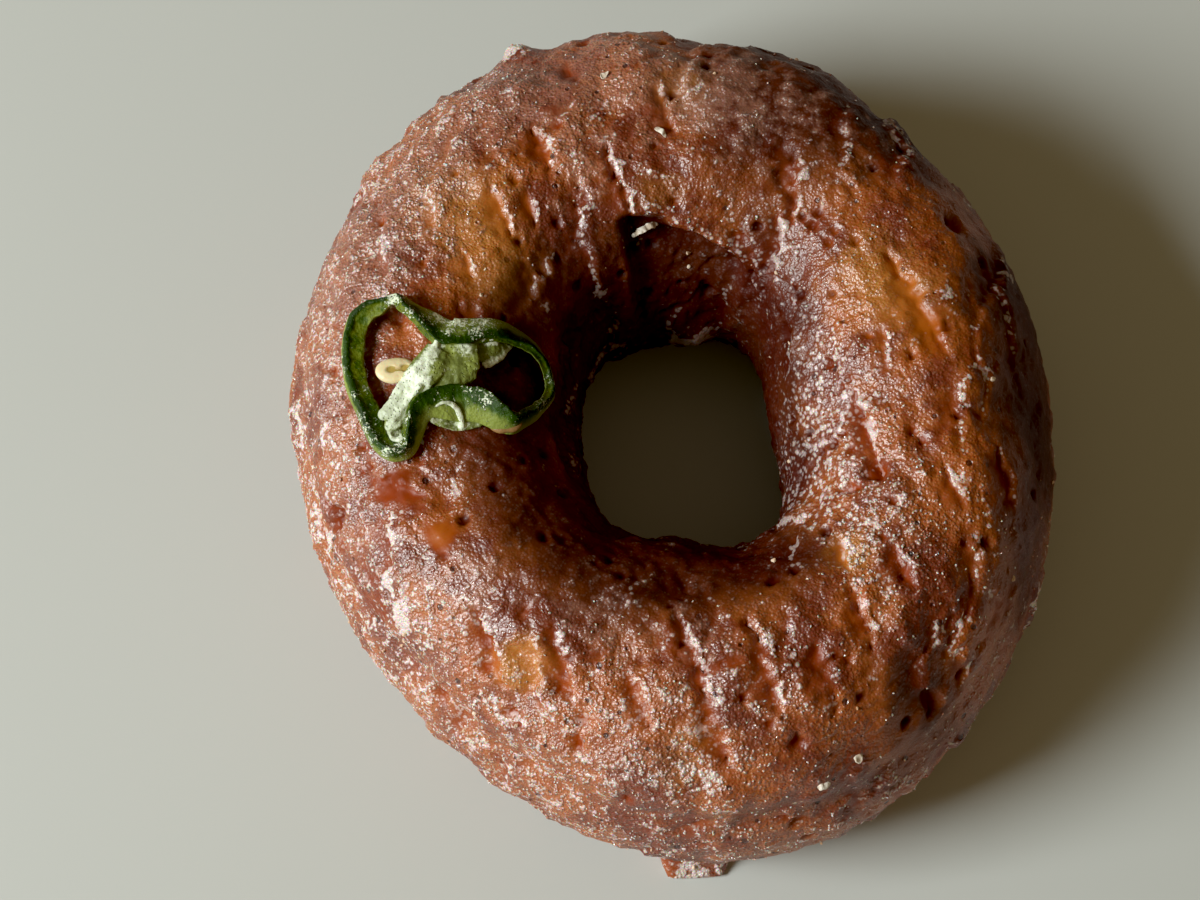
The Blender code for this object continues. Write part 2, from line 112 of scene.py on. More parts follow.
# A crevice's section as shares of its width: where its west slope starts and its east wall ends
CREVICE_WEST = 2.3
CREVICE_EAST = 0.4
CREVICE_TAPER = 0.6
CREVICE_UNEVEN = 1.1
CREVICE_ENDS = 0.9
CREVICE_DEPTH = 0.8
CREVICE_GRAIN = 2.6 * MM
CREVICE_DARK = 0.98
CREVICE_SPREAD = 0.55
RIDGE_AT = 0.5
RIDGE_WIDTH = 0.42
RIDGE_HEIGHT = 0.22 * MM
RIDGE_CRINKLE = 0.8 * MM
RIDGE_MEAN = 0.7
RIDGE_SWING = 0.9
RIDGE_LEAST = 0.15

# How the crust's outlines are bent and frayed, as (size of a bend, how far)
BENDS = (4.5 * MM, 0.9 * MM)
FRAYS = (1.1 * MM, 0.7 * MM)

# Plates like shingles that the crust has broken into, and the size of one along each axis
PLATES = np.array([4.6 * MM, 6.6 * MM, 6 * MM])
PLATE_STEP = 0.75 * MM
PLATE_GROOVE = 0.25 * MM
PLATE_EDGE = 0.2
PLATE_PATCHES = 9 * MM
PLATE_PATCH_EDGE = 0.25
PLATE_CALM = 2.2 * MM
PLATE_LEAN = (0.1, 0.4)
PLATE_MARKS = 0.6

PITS = 26
PIT_SEED = 11
PIT_WIDTHS = (0.8 * MM, 1.5 * MM)
PIT_DEPTH = 0.5
PIT_SLOPE = (1.2, 0.3)
PIT_DARK = 0.8
# Pits that have their own places from above, as (x, y, radius), in mm
PIT_PLACES = (
    (16.0, -10.3, 0.8), (18.4, -8.9, 1.3), (-11.1, -30.3, 0.7), (-32.6, -12.0, 1.3),
    (-18.3, -27.7, 0.9), (-15.9, -31.8, 0.8), (-9.6, -34.8, 0.8), (10.9, -35.2, 0.8),
    (15.4, -27.7, 0.7), (23.5, -30.4, 0.9),
)
PIT_PLACE_DEPTH = 0.9
PIT_PLACE_SLOPE = (1.2, 0.4)

# Finer pores: how many, their radii, and the section angles that they lie between
PORES = 160
PORE_SEED = 5
PORE_RADII = (0.35 * MM, 0.6 * MM)
PORE_DEPTH = 0.9
PORE_TURNS = (2 * DEG, 175 * DEG)
PORE_SLOPE = (1.3, 0.6)
PORE_REACH = 1.4

# Round hills with creases between them, as (size of one, height), and how they gather glaze
HILLS = ((3.4 * MM, 0.16 * MM), (1.6 * MM, 0.16 * MM), (0.8 * MM, 0.1 * MM))
HILL_GLAZE = 0.6 / MM
HILL_CREASE = 0.4

TEAR_FROM = 62 * DEG
TEAR_TO = 110 * DEG
TEAR_EDGE_FROM = 15.2 * MM
TEAR_EDGE_TO = 18.6 * MM
TEAR_FADE = 0.12
TEAR_DEPTH = 2.4 * MM
TEAR_STEP = 0.8 * MM
TEAR_FLOOR = 8.5 * MM
TEAR_INSIDE = (90 * DEG, 210 * DEG)
TEAR_LIP = 0.4 * MM
TEAR_LIP_WIDTH = 0.6 * MM
TEAR_LIP_AT = 0.6
TEAR_SUGAR = 0.3
TEAR_RAGGED = 0.7 * MM
TEAR_RAGGED_SIZE = 2.2 * MM

SEAM_AT = 22 * DEG
SEAM_WIDTH = 7 * DEG
SEAM_DEPTH = 0.9 * MM
SEAM_BEARING = -80 * DEG
SEAM_SPREAD = 86 * DEG
SEAM_ELSEWHERE = 0.35
SKIRT_AT = 4 * DEG
SKIRT_WIDTH = 14 * DEG
SKIRT_SIZE = 0.35 * MM

FOOT_BEARING = -87 * DEG
FOOT_SPREAD = 7.5 * DEG
FOOT_CORE = 3.4 * DEG
FOOT_REACH = 41.9 * MM
FOOT_AT = -58 * DEG
FOOT_ROWS = 22 * DEG
FOOT_SINK = 0.55
# Blebs of dried glaze, and where pale crumbs have stuck low on the flank, as (x, y, z, reach,
# strength), in mm
BLEBS = ((-15.6, 37.3, 22.2, 1.9, 1.5), (2.8, 12.4, 11.0, 2.5, 1.1))
LOW_CRUMBS = (
    (-32.0, -19.6, 12.5, 2.4, 1.0), (-30.5, -23.0, 12.5, 2.4, 1.0), (-28.7, -26.2, 12.5, 2.4, 0.8),
)

# Soft spots on the crust from above, as (x, y, reach, strength), in mm
# Pale glaze, partly painted highlight: most on the west flank and the hole's east slope, which face
# the light, least on the east flank
GLAZE_AND_HIGHLIGHT_SPOTS = (
    (-34, 4, 7, 0.4), (-31, 13, 7, 0.75), (-26, 22, 7, 0.8), (-19, 30, 6, 0.8), (0, -35, 8, 0.5),
    (11, -31, 6, 0.35), (-12, -33, 6, 0.5), (-34, -8, 9, 0.3), (-31, -20, 9, 0.4),
    (-27, -27, 6, 0.2), (-19, -29, 6, 0.15), (17, 4, 6, 0.3), (18, -5, 6, 0.35), (18, -13, 6, 0.4),
    (22, -20, 6, 0.3), (17, -18, 5, 0.4), (35, 4, 9, -0.6), (34, -10, 7, -0.3), (32, 18, 8, -0.4),
    (2, -30, 7, 0.2), (-8, -23, 5, 0.3), (-9, 20, 4, 0.3), (-5, 34, 6, 0.3), (5, 28, 8, 0.45),
    (15, 24, 8, 0.15), (25, 20, 7, 0.3), (30, -12, 6, 0.3), (11, 14, 4.5, 0.35),
)
# White clusters of dried glaze, besides the crevices' edges, partly painted highlight where the glaze
# glints in the light
GLINT_SPOTS = (
    (13.5, 5, 4, 0.25), (13.5, -3, 5, 0.36), (14, -11, 5, 0.34), (-14.5, -0.3, 2.6, -1.0),
    (16, -18, 4, 0.2), (20, 1, 4, 0.14), (-34, -8, 8, 0.2), (-31, -20, 8, 0.16),
    (-25, -27, 6, 0.14), (11, 19, 3, 0.14), (10, 14, 4, 0.25), (-6, 27, 3, 0.2),
    (-20, -22, 4, 0.18), (-12, -24, 4, 0.1), (1, -27, 6, 0.1), (-28, 17, 7, 0.08),
    (2.4, -38.0, 1.6, 0.5), (3, 22, 5, 0.1),
)
# Where the glaze has dried to a dull mist
MIST_SPOTS = (
    (-32, 12, 8, 0.8), (-25, 23, 8, 0.8), (-17, 31, 6, 0.7), (-33, -2, 7, 0.5), (-33, -14, 7, 0.3),
    (-8, 33, 7, 0.55), (3, 28, 7, 0.5), (13, 27, 8, 0.2), (22, 24, 7, 0.15), (2, 36, 9, 0.25),
    (-9, 22, 4, 0.6), (1, -29, 6, 0.4), (-9, -24, 5, 0.4), (-20, -22, 6, 0.5), (-4, -36, 7, 0.3),
)
GOLD_SPOTS = (
    (-19, 17, 7, 0.5), (-16, 9, 5, 0.5), (-25, 22, 8, 0.35), (-31, 8, 6, 0.25), (1, 31, 4, 0.8),
    (-2, 20, 4, 0.5), (18, 12, 6, 0.45), (22, 6, 6, 0.45), (-14.5, -28, 3, 1.0),
    (15.5, -17.5, 3, 0.8), (-22, -15.5, 2.6, 0.38), (0, -36, 4, 0.5),
)
# Darker spots, partly burnt crust and partly painted shade: down the hole's walls, on the east flank
# away from the light, in a pit and in a hollow
BURN_AND_SHADE_SPOTS = (
    (10, 36, 10, 0.7), (25, 28, 9, 0.7), (0, 31, 8, 0.3), (15, 24, 7, 0.4), (34, 10, 9, 0.9),
    (36, -4, 8, 0.9), (33, -18, 7, 0.6), (22, -31, 6, 0.75), (-8, -21, 8, 0.25), (7, 25, 6, 0.4),
    (8, 14, 5, 0.6), (11, 8, 3.5, 0.7), (11, 2, 3.5, 0.7), (11, -6, 3.5, 0.7), (-8, 13, 6, 0.7),
    (-15, 8, 5, 0.7), (-16, -3, 6, 0.9), (-14.5, 0, 4, 0.6), (-14, -13, 7, 0.8), (-6, -18, 6, 0.8),
    (2, -18, 7, 0.9), (10, -17, 5, 0.8), (-26.5, -10.5, 2, 0.35), (-32.6, -12, 1.6, 0.5),
)
# Painted shade in the pores
PORE_SHADE = 0.4
GRAIN_CLUMPS = 1.3 * MM
GRAIN_CLUMP_EDGE = 0.3
MIST_HIDES = 0.8
# How jagged a grain and a crumb are, as (size of a bump, how far)
GRAIN_JAGGED = (0.2 * MM, 0.12 * MM)
CRUMB_JAGGED = (0.45 * MM, 0.4 * MM)
GRAIN_LEAST = 0.02
CRUMB_LEAST = 0.04
CRUMB_SPOTS = (
    (-30, -22, 4, 1.0), (-26, -28, 4, 1.0), (-34, -12, 4, 0.5), (-17, -33, 6, 0.4), (6, 15, 5, 0.4),
)
# Glaze on the flank that faces west, partly painted highlight where the key light falls: its bearing,
# how much, and the section angles it fades over
LIT_WEST_GLAZE = (200 * DEG, 0.35)
LIT_WEST_FADE = (75 * DEG, 40 * DEG)
GLAZE_MOST = 0.62
# A band of glaze low on the near flank, and the white on the blebs and on the run at the foot
BAND_AT = 15 * MM
BAND_WIDTH = 6 * MM
BAND_GLAZE = 0.4
BLEB_SUGAR = 0.6
RUN_SUGAR = 0.4
# Painted shade down the hole's wall: darker below a height, on the side of the section that faces the
# hole
INNER_TO = 1.5 * math.pi
INNER_DARK = (25 * MM, 17 * MM)
INNER_SHADE = 1.4
HOLLOW_SPOTS = (
    (-22, -15.8, 1.5, 1.3), (-26.5, -10.5, 1.8, 1.3), (24, 5, 3.0, 0.6), (-12, 28, 2.0, 0.5),
)
HOLLOW_STEP = (0.3, 0.6)

# The chilli's wall: its cut rim from above as (x, y, lean towards the middle in degrees,
# thickness, height from foot to rim), in mm
RIM = (
    (-26.5, 7.3, 20, 1.1, 1.9), (-27.8, 7.1, 18, 1.4, 1.7), (-29.1, 6.9, 18, 1.7, 1.6),
    (-30.1, 6.4, 18, 1.8, 1.5), (-30.9, 5.4, 18, 1.9, 1.5), (-31.3, 2.6, 18, 1.8, 1.5),
    (-30.8, -1.1, 18, 1.7, 1.5), (-29.6, -4.1, 18, 1.7, 1.5), (-28.5, -6.6, 18, 1.5, 1.6),
    (-27.7, -7.7, 16, 1.4, 1.7), (-26.8, -8.3, 16, 1.2, 1.8), (-25.8, -8.2, 18, 1.1, 1.9),
    (-25.2, -7.6, 24, 1.0, 2.0), (-25.1, -6.0, 40, 1.0, 2.2), (-24.9, -4.5, 48, 0.9, 2.4),
    (-24.2, -3.3, 56, 0.9, 2.8), (-23.2, -2.5, 62, 0.9, 3.1), (-22.0, -2.1, 66, 0.9, 3.2),
    (-20.4, -1.9, 66, 0.9, 3.3), (-18.1, -2.4, 62, 0.9, 3.2), (-16.2, -4.0, 50, 0.8, 2.6),
    (-15.3, -4.7, 34, 0.8, 2.3), (-14.5, -4.5, 16, 0.8, 2.1), (-13.3, -3.5, 6, 0.8, 2.0),
    (-12.0, -1.4, 0, 0.8, 2.0), (-11.6, 0.1, 0, 0.8, 2.0), (-12.3, 2.0, 10, 0.8, 2.2),
    (-13.2, 2.7, 20, 0.8, 2.3), (-14.2, 3.1, 34, 0.8, 2.5), (-16.4, 3.3, 58, 0.8, 2.6),
    (-18.4, 2.9, 68, 0.9, 2.8), (-20.4, 2.2, 72, 0.9, 3.1), (-22.5, 2.4, 66, 0.9, 3.1),
    (-23.5, 3.4, 60, 0.9, 2.9), (-24.5, 4.6, 50, 0.9, 2.6), (-25.7, 6.1, 32, 1.0, 2.2),
)
CLEARANCE = 0.15 * MM
CURVE_STEPS = 12

# The wall's section, from the foot of the skin up to the cut face and down the flesh, as
# (share of the thickness, share of the height, skin, dark edge, pale inner edge)
WALL_SECTION = (
    (0.0, 0.0, 1.0, 0.0, 0.0), (-0.04, 0.3, 1.0, 0.0, 0.0), (-0.07, 0.6, 1.0, 0.2, 0.0),
    (-0.05, 0.88, 1.0, 0.8, 0.0), (0.04, 1.01, 1.0, 1.0, 0.0), (0.2, 1.01, 0.9, 1.0, 0.0),
    (0.32, 0.95, 0.0, 0.2, 0.0), (0.6, 0.93, 0.0, 0.0, 0.0), (0.86, 0.97, 0.0, 0.0, 0.5),
    (1.0, 0.9, 0.0, 0.0, 1.0), (1.04, 0.5, 0.0, 0.0, 0.3), (1.0, 0.0, 0.0, 0.0, 0.0),
    (0.5, -0.06, 0.6, 0.0, 0.0),
)
WALL_STATIONS = 560
WALL_ROUND = 52
WALL_TURNING = 16
LIFT_STRIDE = 4
LIFT_REACH = 8
WALL_RUFFLES = ((2.2 * MM, 0.16 * MM), (0.9 * MM, 0.1 * MM), (0.35 * MM, 0.06 * MM))

# Where the chilli is whiter or darker, as (x, y, reach, strength), in mm
FLECK_SPOTS = (
    (-26.8, 6.6, 1.0, 0.9), (-25.2, 5.2, 0.6, 0.8), (-22.7, 5.6, 0.5, 0.7), (-20.7, 5.0, 0.7, 0.9),
    (-21.6, 3.4, 0.5, 0.8), (-18.9, 3.5, 0.8, 0.9), (-21.3, 4.6, 1.2, 0.6), (-22.5, 5.3, 1.0, 0.7),
    (-18.0, 5.3, 0.9, 0.7), (-23.9, 4.2, 0.7, 0.6), (-12.9, -2.2, 1.1, 0.6), (-12.0, 0.4, 1.0, 0.5),
    (-19.3, 4.9, 1.2, 0.6), (-19.5, -2.4, 0.9, 0.6), (-17.9, -3.3, 0.9, 0.9),
    (-21.1, -3.3, 0.5, 0.6), (-22.4, -3.3, 0.6, 0.5), (-25.9, -7.7, 1.0, 0.9),
    (-25.3, -5.2, 0.6, 0.9), (-29.3, -1.8, 0.5, 0.8), (-32.0, 1.9, 0.5, 0.8),
    (-31.6, 0.5, 0.5, 0.8), (-30.3, -2.6, 0.5, 0.7), (-29.6, -4.5, 0.6, 0.8),
    (-29.2, -5.8, 0.6, 0.9), (-28.5, -7.1, 0.6, 0.8), (-27.2, -8.3, 0.6, 0.8),
    (-26.9, 7.4, 0.6, 0.8),
)
# Darker places on the chilli, partly painted shade where its far loop lies out of the light
SHADE_SPOTS = (
    (-28.8, -5.2, 3.0, 1.0), (-13.0, 3.5, 2.5, 0.6), (-15.2, 4.4, 2.5, 0.9),
    (-15.3, -4.0, 2.5, 0.7), (-18.9, 5.6, 1.6, 0.6),
)
WHITE_SPOTS = (
    (-19.8, 1.9, 0.9, 0.7), (-21.6, -0.4, 1.2, 0.2), (-24.6, -1.9, 1.2, 0.8),
    (-25.8, -3.4, 1.2, 0.8), (-26.0, -7.5, 1.2, 0.4),
)

# The web's runs: how white each is, and its rows of (x, y, height over the crust, half width,
# half thickness), in mm. Across the middle, into the near corner, to the far loop, the fold at
# its edge, then the bright ridges on them.
WEB_RUNS = (
    (0.0, (
        (-20.9, 3.4, 1.3, 2.2, 0.35), (-21.0, 1.9, 1.6, 2.3, 0.4), (-21.0, 0.4, 1.6, 2.5, 0.4),
        (-20.9, -0.8, 1.4, 2.5, 0.4), (-20.4, -1.8, 1.1, 1.8, 0.35),
    )),
    (0.0, (
        (-22.3, 1.7, 1.7, 1.4, 0.4), (-23.4, -0.1, 1.7, 1.6, 0.45), (-24.6, -1.7, 1.6, 1.5, 0.45),
        (-25.5, -3.1, 1.5, 1.3, 0.4), (-26.3, -4.6, 1.4, 1.0, 0.4), (-26.5, -6.0, 1.2, 0.9, 0.4),
        (-26.1, -7.1, 1.0, 0.8, 0.4),
    )),
    (0.0, (
        (-19.9, 1.8, 1.3, 1.2, 0.35), (-18.6, 2.1, 1.3, 1.1, 0.35), (-17.3, 2.9, 1.3, 0.9, 0.3),
        (-16.1, 3.4, 1.2, 0.4, 0.3),
    )),
    (0.6, (
        (-18.3, 0.5, 1.3, 0.35, 0.3), (-17.7, 1.1, 1.4, 0.55, 0.3), (-16.9, 1.9, 1.4, 0.6, 0.3),
        (-16.3, 2.7, 1.4, 0.45, 0.3), (-15.7, 3.3, 1.3, 0.3, 0.25),
    )),
    (1.0, (
        (-22.6, 2.6, 1.7, 0.3, 0.25), (-23.1, 1.3, 1.85, 0.32, 0.3), (-23.9, 0.1, 1.9, 0.36, 0.3),
        (-24.8, -0.9, 1.9, 0.45, 0.3), (-25.7, -1.6, 1.85, 0.5, 0.3), (-26.3, -2.6, 1.8, 0.5, 0.3),
        (-26.8, -3.7, 1.6, 0.6, 0.25), (-27.8, -4.7, 1.4, 0.5, 0.2), (-28.4, -5.2, 1.2, 0.3, 0.15),
    )),
    (0.9, (
        (-23.6, -1.5, 1.7, 0.25, 0.25), (-24.6, -2.6, 1.75, 0.35, 0.3),
        (-25.5, -3.7, 1.75, 0.35, 0.3), (-26.2, -4.8, 1.7, 0.3, 0.3), (-26.8, -5.8, 1.6, 0.28, 0.3),
        (-26.7, -6.5, 1.5, 0.25, 0.3),
    )),
    (0.5, (
        (-25.2, -5.0, 1.7, 0.3, 0.3), (-26.0, -5.7, 1.8, 0.22, 0.3), (-26.8, -6.3, 1.8, 0.22, 0.3),
        (-26.7, -6.9, 1.7, 0.25, 0.3), (-25.9, -7.1, 1.6, 0.4, 0.35), (-25.4, -6.7, 1.6, 0.4, 0.3),
    )),
    (1.0, (
        (-18.1, 3.0, 1.6, 0.2, 0.2), (-17.6, 3.2, 1.7, 0.3, 0.25), (-17.0, 3.3, 1.7, 0.3, 0.2),
    )),
)
# The flap's runs: its body, then its raised thin edge
FLAP_RUNS = (
    (0.35, (
        (-23.6, -4.3, 0.7, 0.4, 0.25), (-22.6, -4.7, 0.7, 0.8, 0.25), (-21.3, -4.8, 0.6, 1.0, 0.25),
        (-20.2, -4.8, 0.6, 1.0, 0.25), (-18.9, -4.6, 0.6, 0.9, 0.25), (-17.6, -4.2, 0.6, 0.6, 0.25),
    )),
    (0.75, (
        (-23.2, -4.1, 1.5, 0.15, 0.14), (-22.2, -3.7, 1.85, 0.2, 0.15),
        (-21.4, -3.6, 1.9, 0.26, 0.16), (-20.7, -4.0, 1.7, 0.3, 0.16),
        (-20.3, -4.8, 1.3, 0.3, 0.16), (-20.1, -5.6, 0.9, 0.2, 0.15),
    )),
)
WEB_STATIONS = 40
WEB_SIDES = 20
WEB_GRAIN = 0.09 * MM
WEB_BLEND = (24, 0.3 * MM)
WEB_EASE = 14
WEB_RELIEF = ((1.1 * MM, 0.07 * MM), (0.4 * MM, 0.07 * MM))

# The seeds, as (x, y, height over the crust, length, width, thickness, turn, how brown), in mm
# and degrees. The second seed's brown is partly painted shade.
SEEDS = (
    (-26.2, -0.1, 0.8, 3.9, 2.8, 0.9, 4, 0.0), (-16.1, -4.8, 0.6, 3.2, 2.7, 0.8, 0, 1.7),
)
SEED_REACH = (1.5 * MM, 1 * MM)
# Rings and segments of a seed's grid, and the notches in its outline, as (bearing and width in
# radians, depth)
SEED_GRID = (40, 64)
SEED_NOTCHES = ((-1.45, 0.35, 0.12), (1.9, 0.5, 0.05))
# A seed's dents, as (along, across, reach, depth), all as shares of its size
SEED_DENTS = ((-0.17, 0.0, 0.16, 0.35), (0.17, 0.02, 0.17, 0.5))

# Loose flakes of dried glaze, as (x, y, height over the crust, length, width, turn, curl), in mm
# and degrees
FLAKES = (
    (-2.9, 16.9, 0.6, 3.2, 0.7, 29, 40), (-6.8, 32.1, 0.15, 1.0, 0.6, 50, 30),
    (-1.4, 25.6, 0.15, 1.5, 0.6, -40, 40), (13.3, -38.0, 0.15, 1.2, 0.7, 20, 30),
    (16.5, -35.6, 0.15, 1.1, 0.8, 80, 30),
)
FLAKE_HALF = 0.1 * MM
FLAKE_END = 0.96
FLAKE_STATIONS = 24
FLAKE_SIDES = 16
FLAKE_FRAY = (0.45 * MM, 0.22 * MM)

FLOOR_HALF = 1.5
WINDOW_AWAY = 0.9
SENSOR = 36
TARGET = Vector((-7.3 * MM, -0.85 * MM, 11.5 * MM))


def tint(name, description, default):
    """A colour among the settings."""
    return bpy.props.FloatVectorProperty(
        name=name, description=description, subtype="COLOR", default=default
    )


class CrustSettings(bpy.types.PropertyGroup):
    """Grid and colours of the fried crust and its glaze."""

    columns: bpy.props.IntProperty(
        name="Columns", description="Faces round the ring", default=440, min=96
    )
    crown_rows: bpy.props.IntProperty(
        name="Crown rows", description="Faces over the crown, from foot to hole", default=186, min=48
    )
    under_rows: bpy.props.IntProperty(
        name="Under rows", description="Faces across the underside", default=40, min=12
    )
    brown: tint("Brown", "Fried dough", (0.21, 0.032, 0.003))
    orange: tint("Orange", "Thin, clear dough", (0.45, 0.11, 0.009))
    gold: tint("Gold", "Paler dough", (0.55, 0.21, 0.032))
    clear: tint("Clear", "Bare dough in hollows", (0.27, 0.035, 0.001))
    # Burnt crust, also the painted shade in pores, down the hole and in shaded spots
    burnt_and_shade: tint("Burnt", "Darkest crust", (0.045, 0.003, 0.001))
    ridge: tint("Ridge", "Thick dried glaze", (0.86, 0.72, 0.68))
    sugar: tint("Sugar", "Dried glaze", (0.50, 0.24, 0.165))
    haze: tint("Haze", "Dull mist of glaze", (0.43, 0.19, 0.125))


class ChilliSettings(bpy.types.PropertyGroup):
    """Colours of the chilli slice."""

    skin: tint("Skin", "Outer skin", (0.03, 0.07, 0.0008))
    flesh: tint("Flesh", "Cut wall", (0.15, 0.18, 0.011))
    web: tint("Web", "Bare middle", (0.15, 0.17, 0.035))
    white: tint("White", "Dried fibres and flecks", (0.88, 0.93, 0.72))
    seed: tint("Seed", "Seeds' rims", (0.88, 0.72, 0.42))
    dent: tint("Dent", "Seeds' middles", (0.55, 0.38, 0.10))
    # The browned seed, its brown partly painted shade
    brown_and_shade: tint("Old", "The browned seed", (0.26, 0.12, 0.05))


class ScatterSettings(bpy.types.PropertyGroup):
    """Sugar grains and crumbs on the crust."""

    grains: bpy.props.FloatProperty(
        name="Grains", description="Most sugar grains on each square metre", default=3.2e6, min=0
    )
    grain_size: bpy.props.FloatProperty(
        name="Grain size", description="Across one grain", default=0.32 * MM, subtype="DISTANCE"
    )
    crumbs: bpy.props.FloatProperty(
        name="Crumbs", description="Most crumbs on each square metre", default=6.0e4, min=0
    )
    crumb_size: bpy.props.FloatProperty(
        name="Crumb size", description="Across one crumb", default=0.55 * MM, subtype="DISTANCE"
    )
    seed: bpy.props.IntProperty(name="Seed", description="Of the scattering", default=3)


class StageSettings(bpy.types.PropertyGroup):
    """Floor, lights and camera."""

    floor: tint("Floor", "Floor's colour", (0.60, 0.60, 0.57))
    key: bpy.props.FloatProperty(
        name="Key", description="Power of the window light", default=9.8, subtype="POWER"
    )
    key_size: bpy.props.FloatProperty(
        name="Key size", description="Side of the window light", default=0.36, subtype="DISTANCE"
    )
    key_bearing: bpy.props.FloatProperty(
        name="Key bearing", description="Where it comes from", default=197.5 * DEG, subtype="ANGLE"
    )
    key_height: bpy.props.FloatProperty(
        name="Key height", description="Its elevation", default=36 * DEG, subtype="ANGLE"
    )
    daylight: tint("Daylight", "The window's light", (0.92, 1.0, 1.0))
    fill: tint("Fill", "The room's light", (0.168, 0.13, 0.067))
    black: bpy.props.FloatProperty(
        name="Black", description="Light that shows as black", default=0.005
    )
    tilt: bpy.props.FloatProperty(
        name="Camera tilt", description="From straight down", default=20 * DEG, subtype="ANGLE"
    )
    distance: bpy.props.FloatProperty(
        name="Camera distance", description="To its target", default=0.3, subtype="DISTANCE"
    )
    lens: bpy.props.FloatProperty(name="Lens", description="Focal length in mm", default=90)


class Wire:
    """One output of a node. Python's operators on it add Math nodes."""

    def __init__(self, tree, socket):
        self.tree = tree
        self.socket = socket

    def math(self, operation, first, second):
        return self.tree.add("ShaderNodeMath", {"operation": operation}, {0: first, 1: second})

    def __add__(self, other):
        return self.math("ADD", self, other)

    def __radd__(self, other):
        return self.math("ADD", other, self)

    def __sub__(self, other):
        return self.math("SUBTRACT", self, other)

    def __rsub__(self, other):
        return self.math("SUBTRACT", other, self)

    def __mul__(self, other):
        return self.math("MULTIPLY", self, other)

    def __rmul__(self, other):
        return self.math("MULTIPLY", other, self)


class Nodes:
    """A node tree that is filled by one method."""

    def __init__(self, tree):
        self.tree = tree

    def add(self, kind, settings=None, values=None, output=0):
        """Adds a node: its settings first, then its sockets' values or links."""
        node = self.tree.nodes.new(kind)
        for name, value in (settings or {}).items():
            setattr(node, name, value)
        for name, value in (values or {}).items():
            if isinstance(value, Wire):
                self.tree.links.new(value.socket, node.inputs[name])
            else:
                node.inputs[name].default_value = value
        return None if output is None else Wire(self, node.outputs[output])


class Scatter(Nodes):
    """Geometry nodes that strew small solids over a surface where it's marked for them."""

    def __init__(self, name, mark, rounds, jagged, material):
        tree = bpy.data.node_groups.new(name, "GeometryNodeTree")
        super().__init__(tree)
        tree.interface.new_socket("Surface", in_out="INPUT", socket_type="NodeSocketGeometry")
        self.named = {}
        for label, kind in (("Density", "Float"), ("Size", "Float"), ("Seed", "Int")):
            socket = tree.interface.new_socket(label, in_out="INPUT", socket_type="NodeSocket" + kind)
            self.named[label] = socket.identifier
        tree.interface.new_socket("Strewn", in_out="OUTPUT", socket_type="NodeSocketGeometry")
        group = tree.nodes.new("NodeGroupInput")
        surface, density, size, seed = (Wire(self, group.outputs[i]) for i in range(4))
        marked = self.add("GeometryNodeInputNamedAttribute", {"data_type": "FLOAT"}, {"Name": mark})
        values = {"Mesh": surface, "Density": density * marked, "Seed": seed}
        points = self.add("GeometryNodeDistributePointsOnFaces", {}, values)
        solid_values = {"Radius": 0.5, "Subdivisions": rounds}
        shape = self.add("GeometryNodeMeshIcoSphere", {}, solid_values)
        turn = self.random((0, 0, 0), (TURN, TURN, TURN), seed)
        spread = self.random((0.5, 0.5, 0.4), (1.2, 1.0, 0.8), seed + 1)
        scale = self.vector("SCALE", {0: spread, "Scale": size})
        values = {"Points": points, "Instance": shape, "Rotation": turn, "Scale": scale}
        strewn = self.add("GeometryNodeInstanceOnPoints", {}, values)
        strewn = self.add("GeometryNodeRealizeInstances", {}, {0: strewn})
        rough = self.add("ShaderNodeTexNoise", {}, {"Scale": 1 / jagged[0], "Detail": 1.0}, "Color")
        rough = self.vector("SUBTRACT", {0: rough, 1: (0.5, 0.5, 0.5)})
        rough = self.vector("SCALE", {0: rough, "Scale": jagged[1]})
        strewn = self.add("GeometryNodeSetPosition", {}, {"Geometry": strewn, "Offset": rough})
        strewn = self.add("GeometryNodeSetMaterial", {}, {0: strewn, "Material": material})
        self.add("NodeGroupOutput", {}, {0: strewn}, None)

    def vector(self, operation, values):
        return self.add("ShaderNodeVectorMath", {"operation": operation}, values)

    def random(self, low, high, seed):
        values = {0: low, 1: high, "Seed": seed}
        return self.add("FunctionNodeRandomValue", {"data_type": "FLOAT_VECTOR"}, values)

    def strew(self, piece, density, size, seed):
        """Runs the nodes on a piece and leaves the plain mesh of what was strewn."""
        nodes = piece.modifiers.new("strew", "NODES")
        nodes.node_group = self.tree
        for label, value in (("Density", density), ("Size", size), ("Seed", seed)):
            nodes[self.named[label]] = value
        return as_mesh(piece)


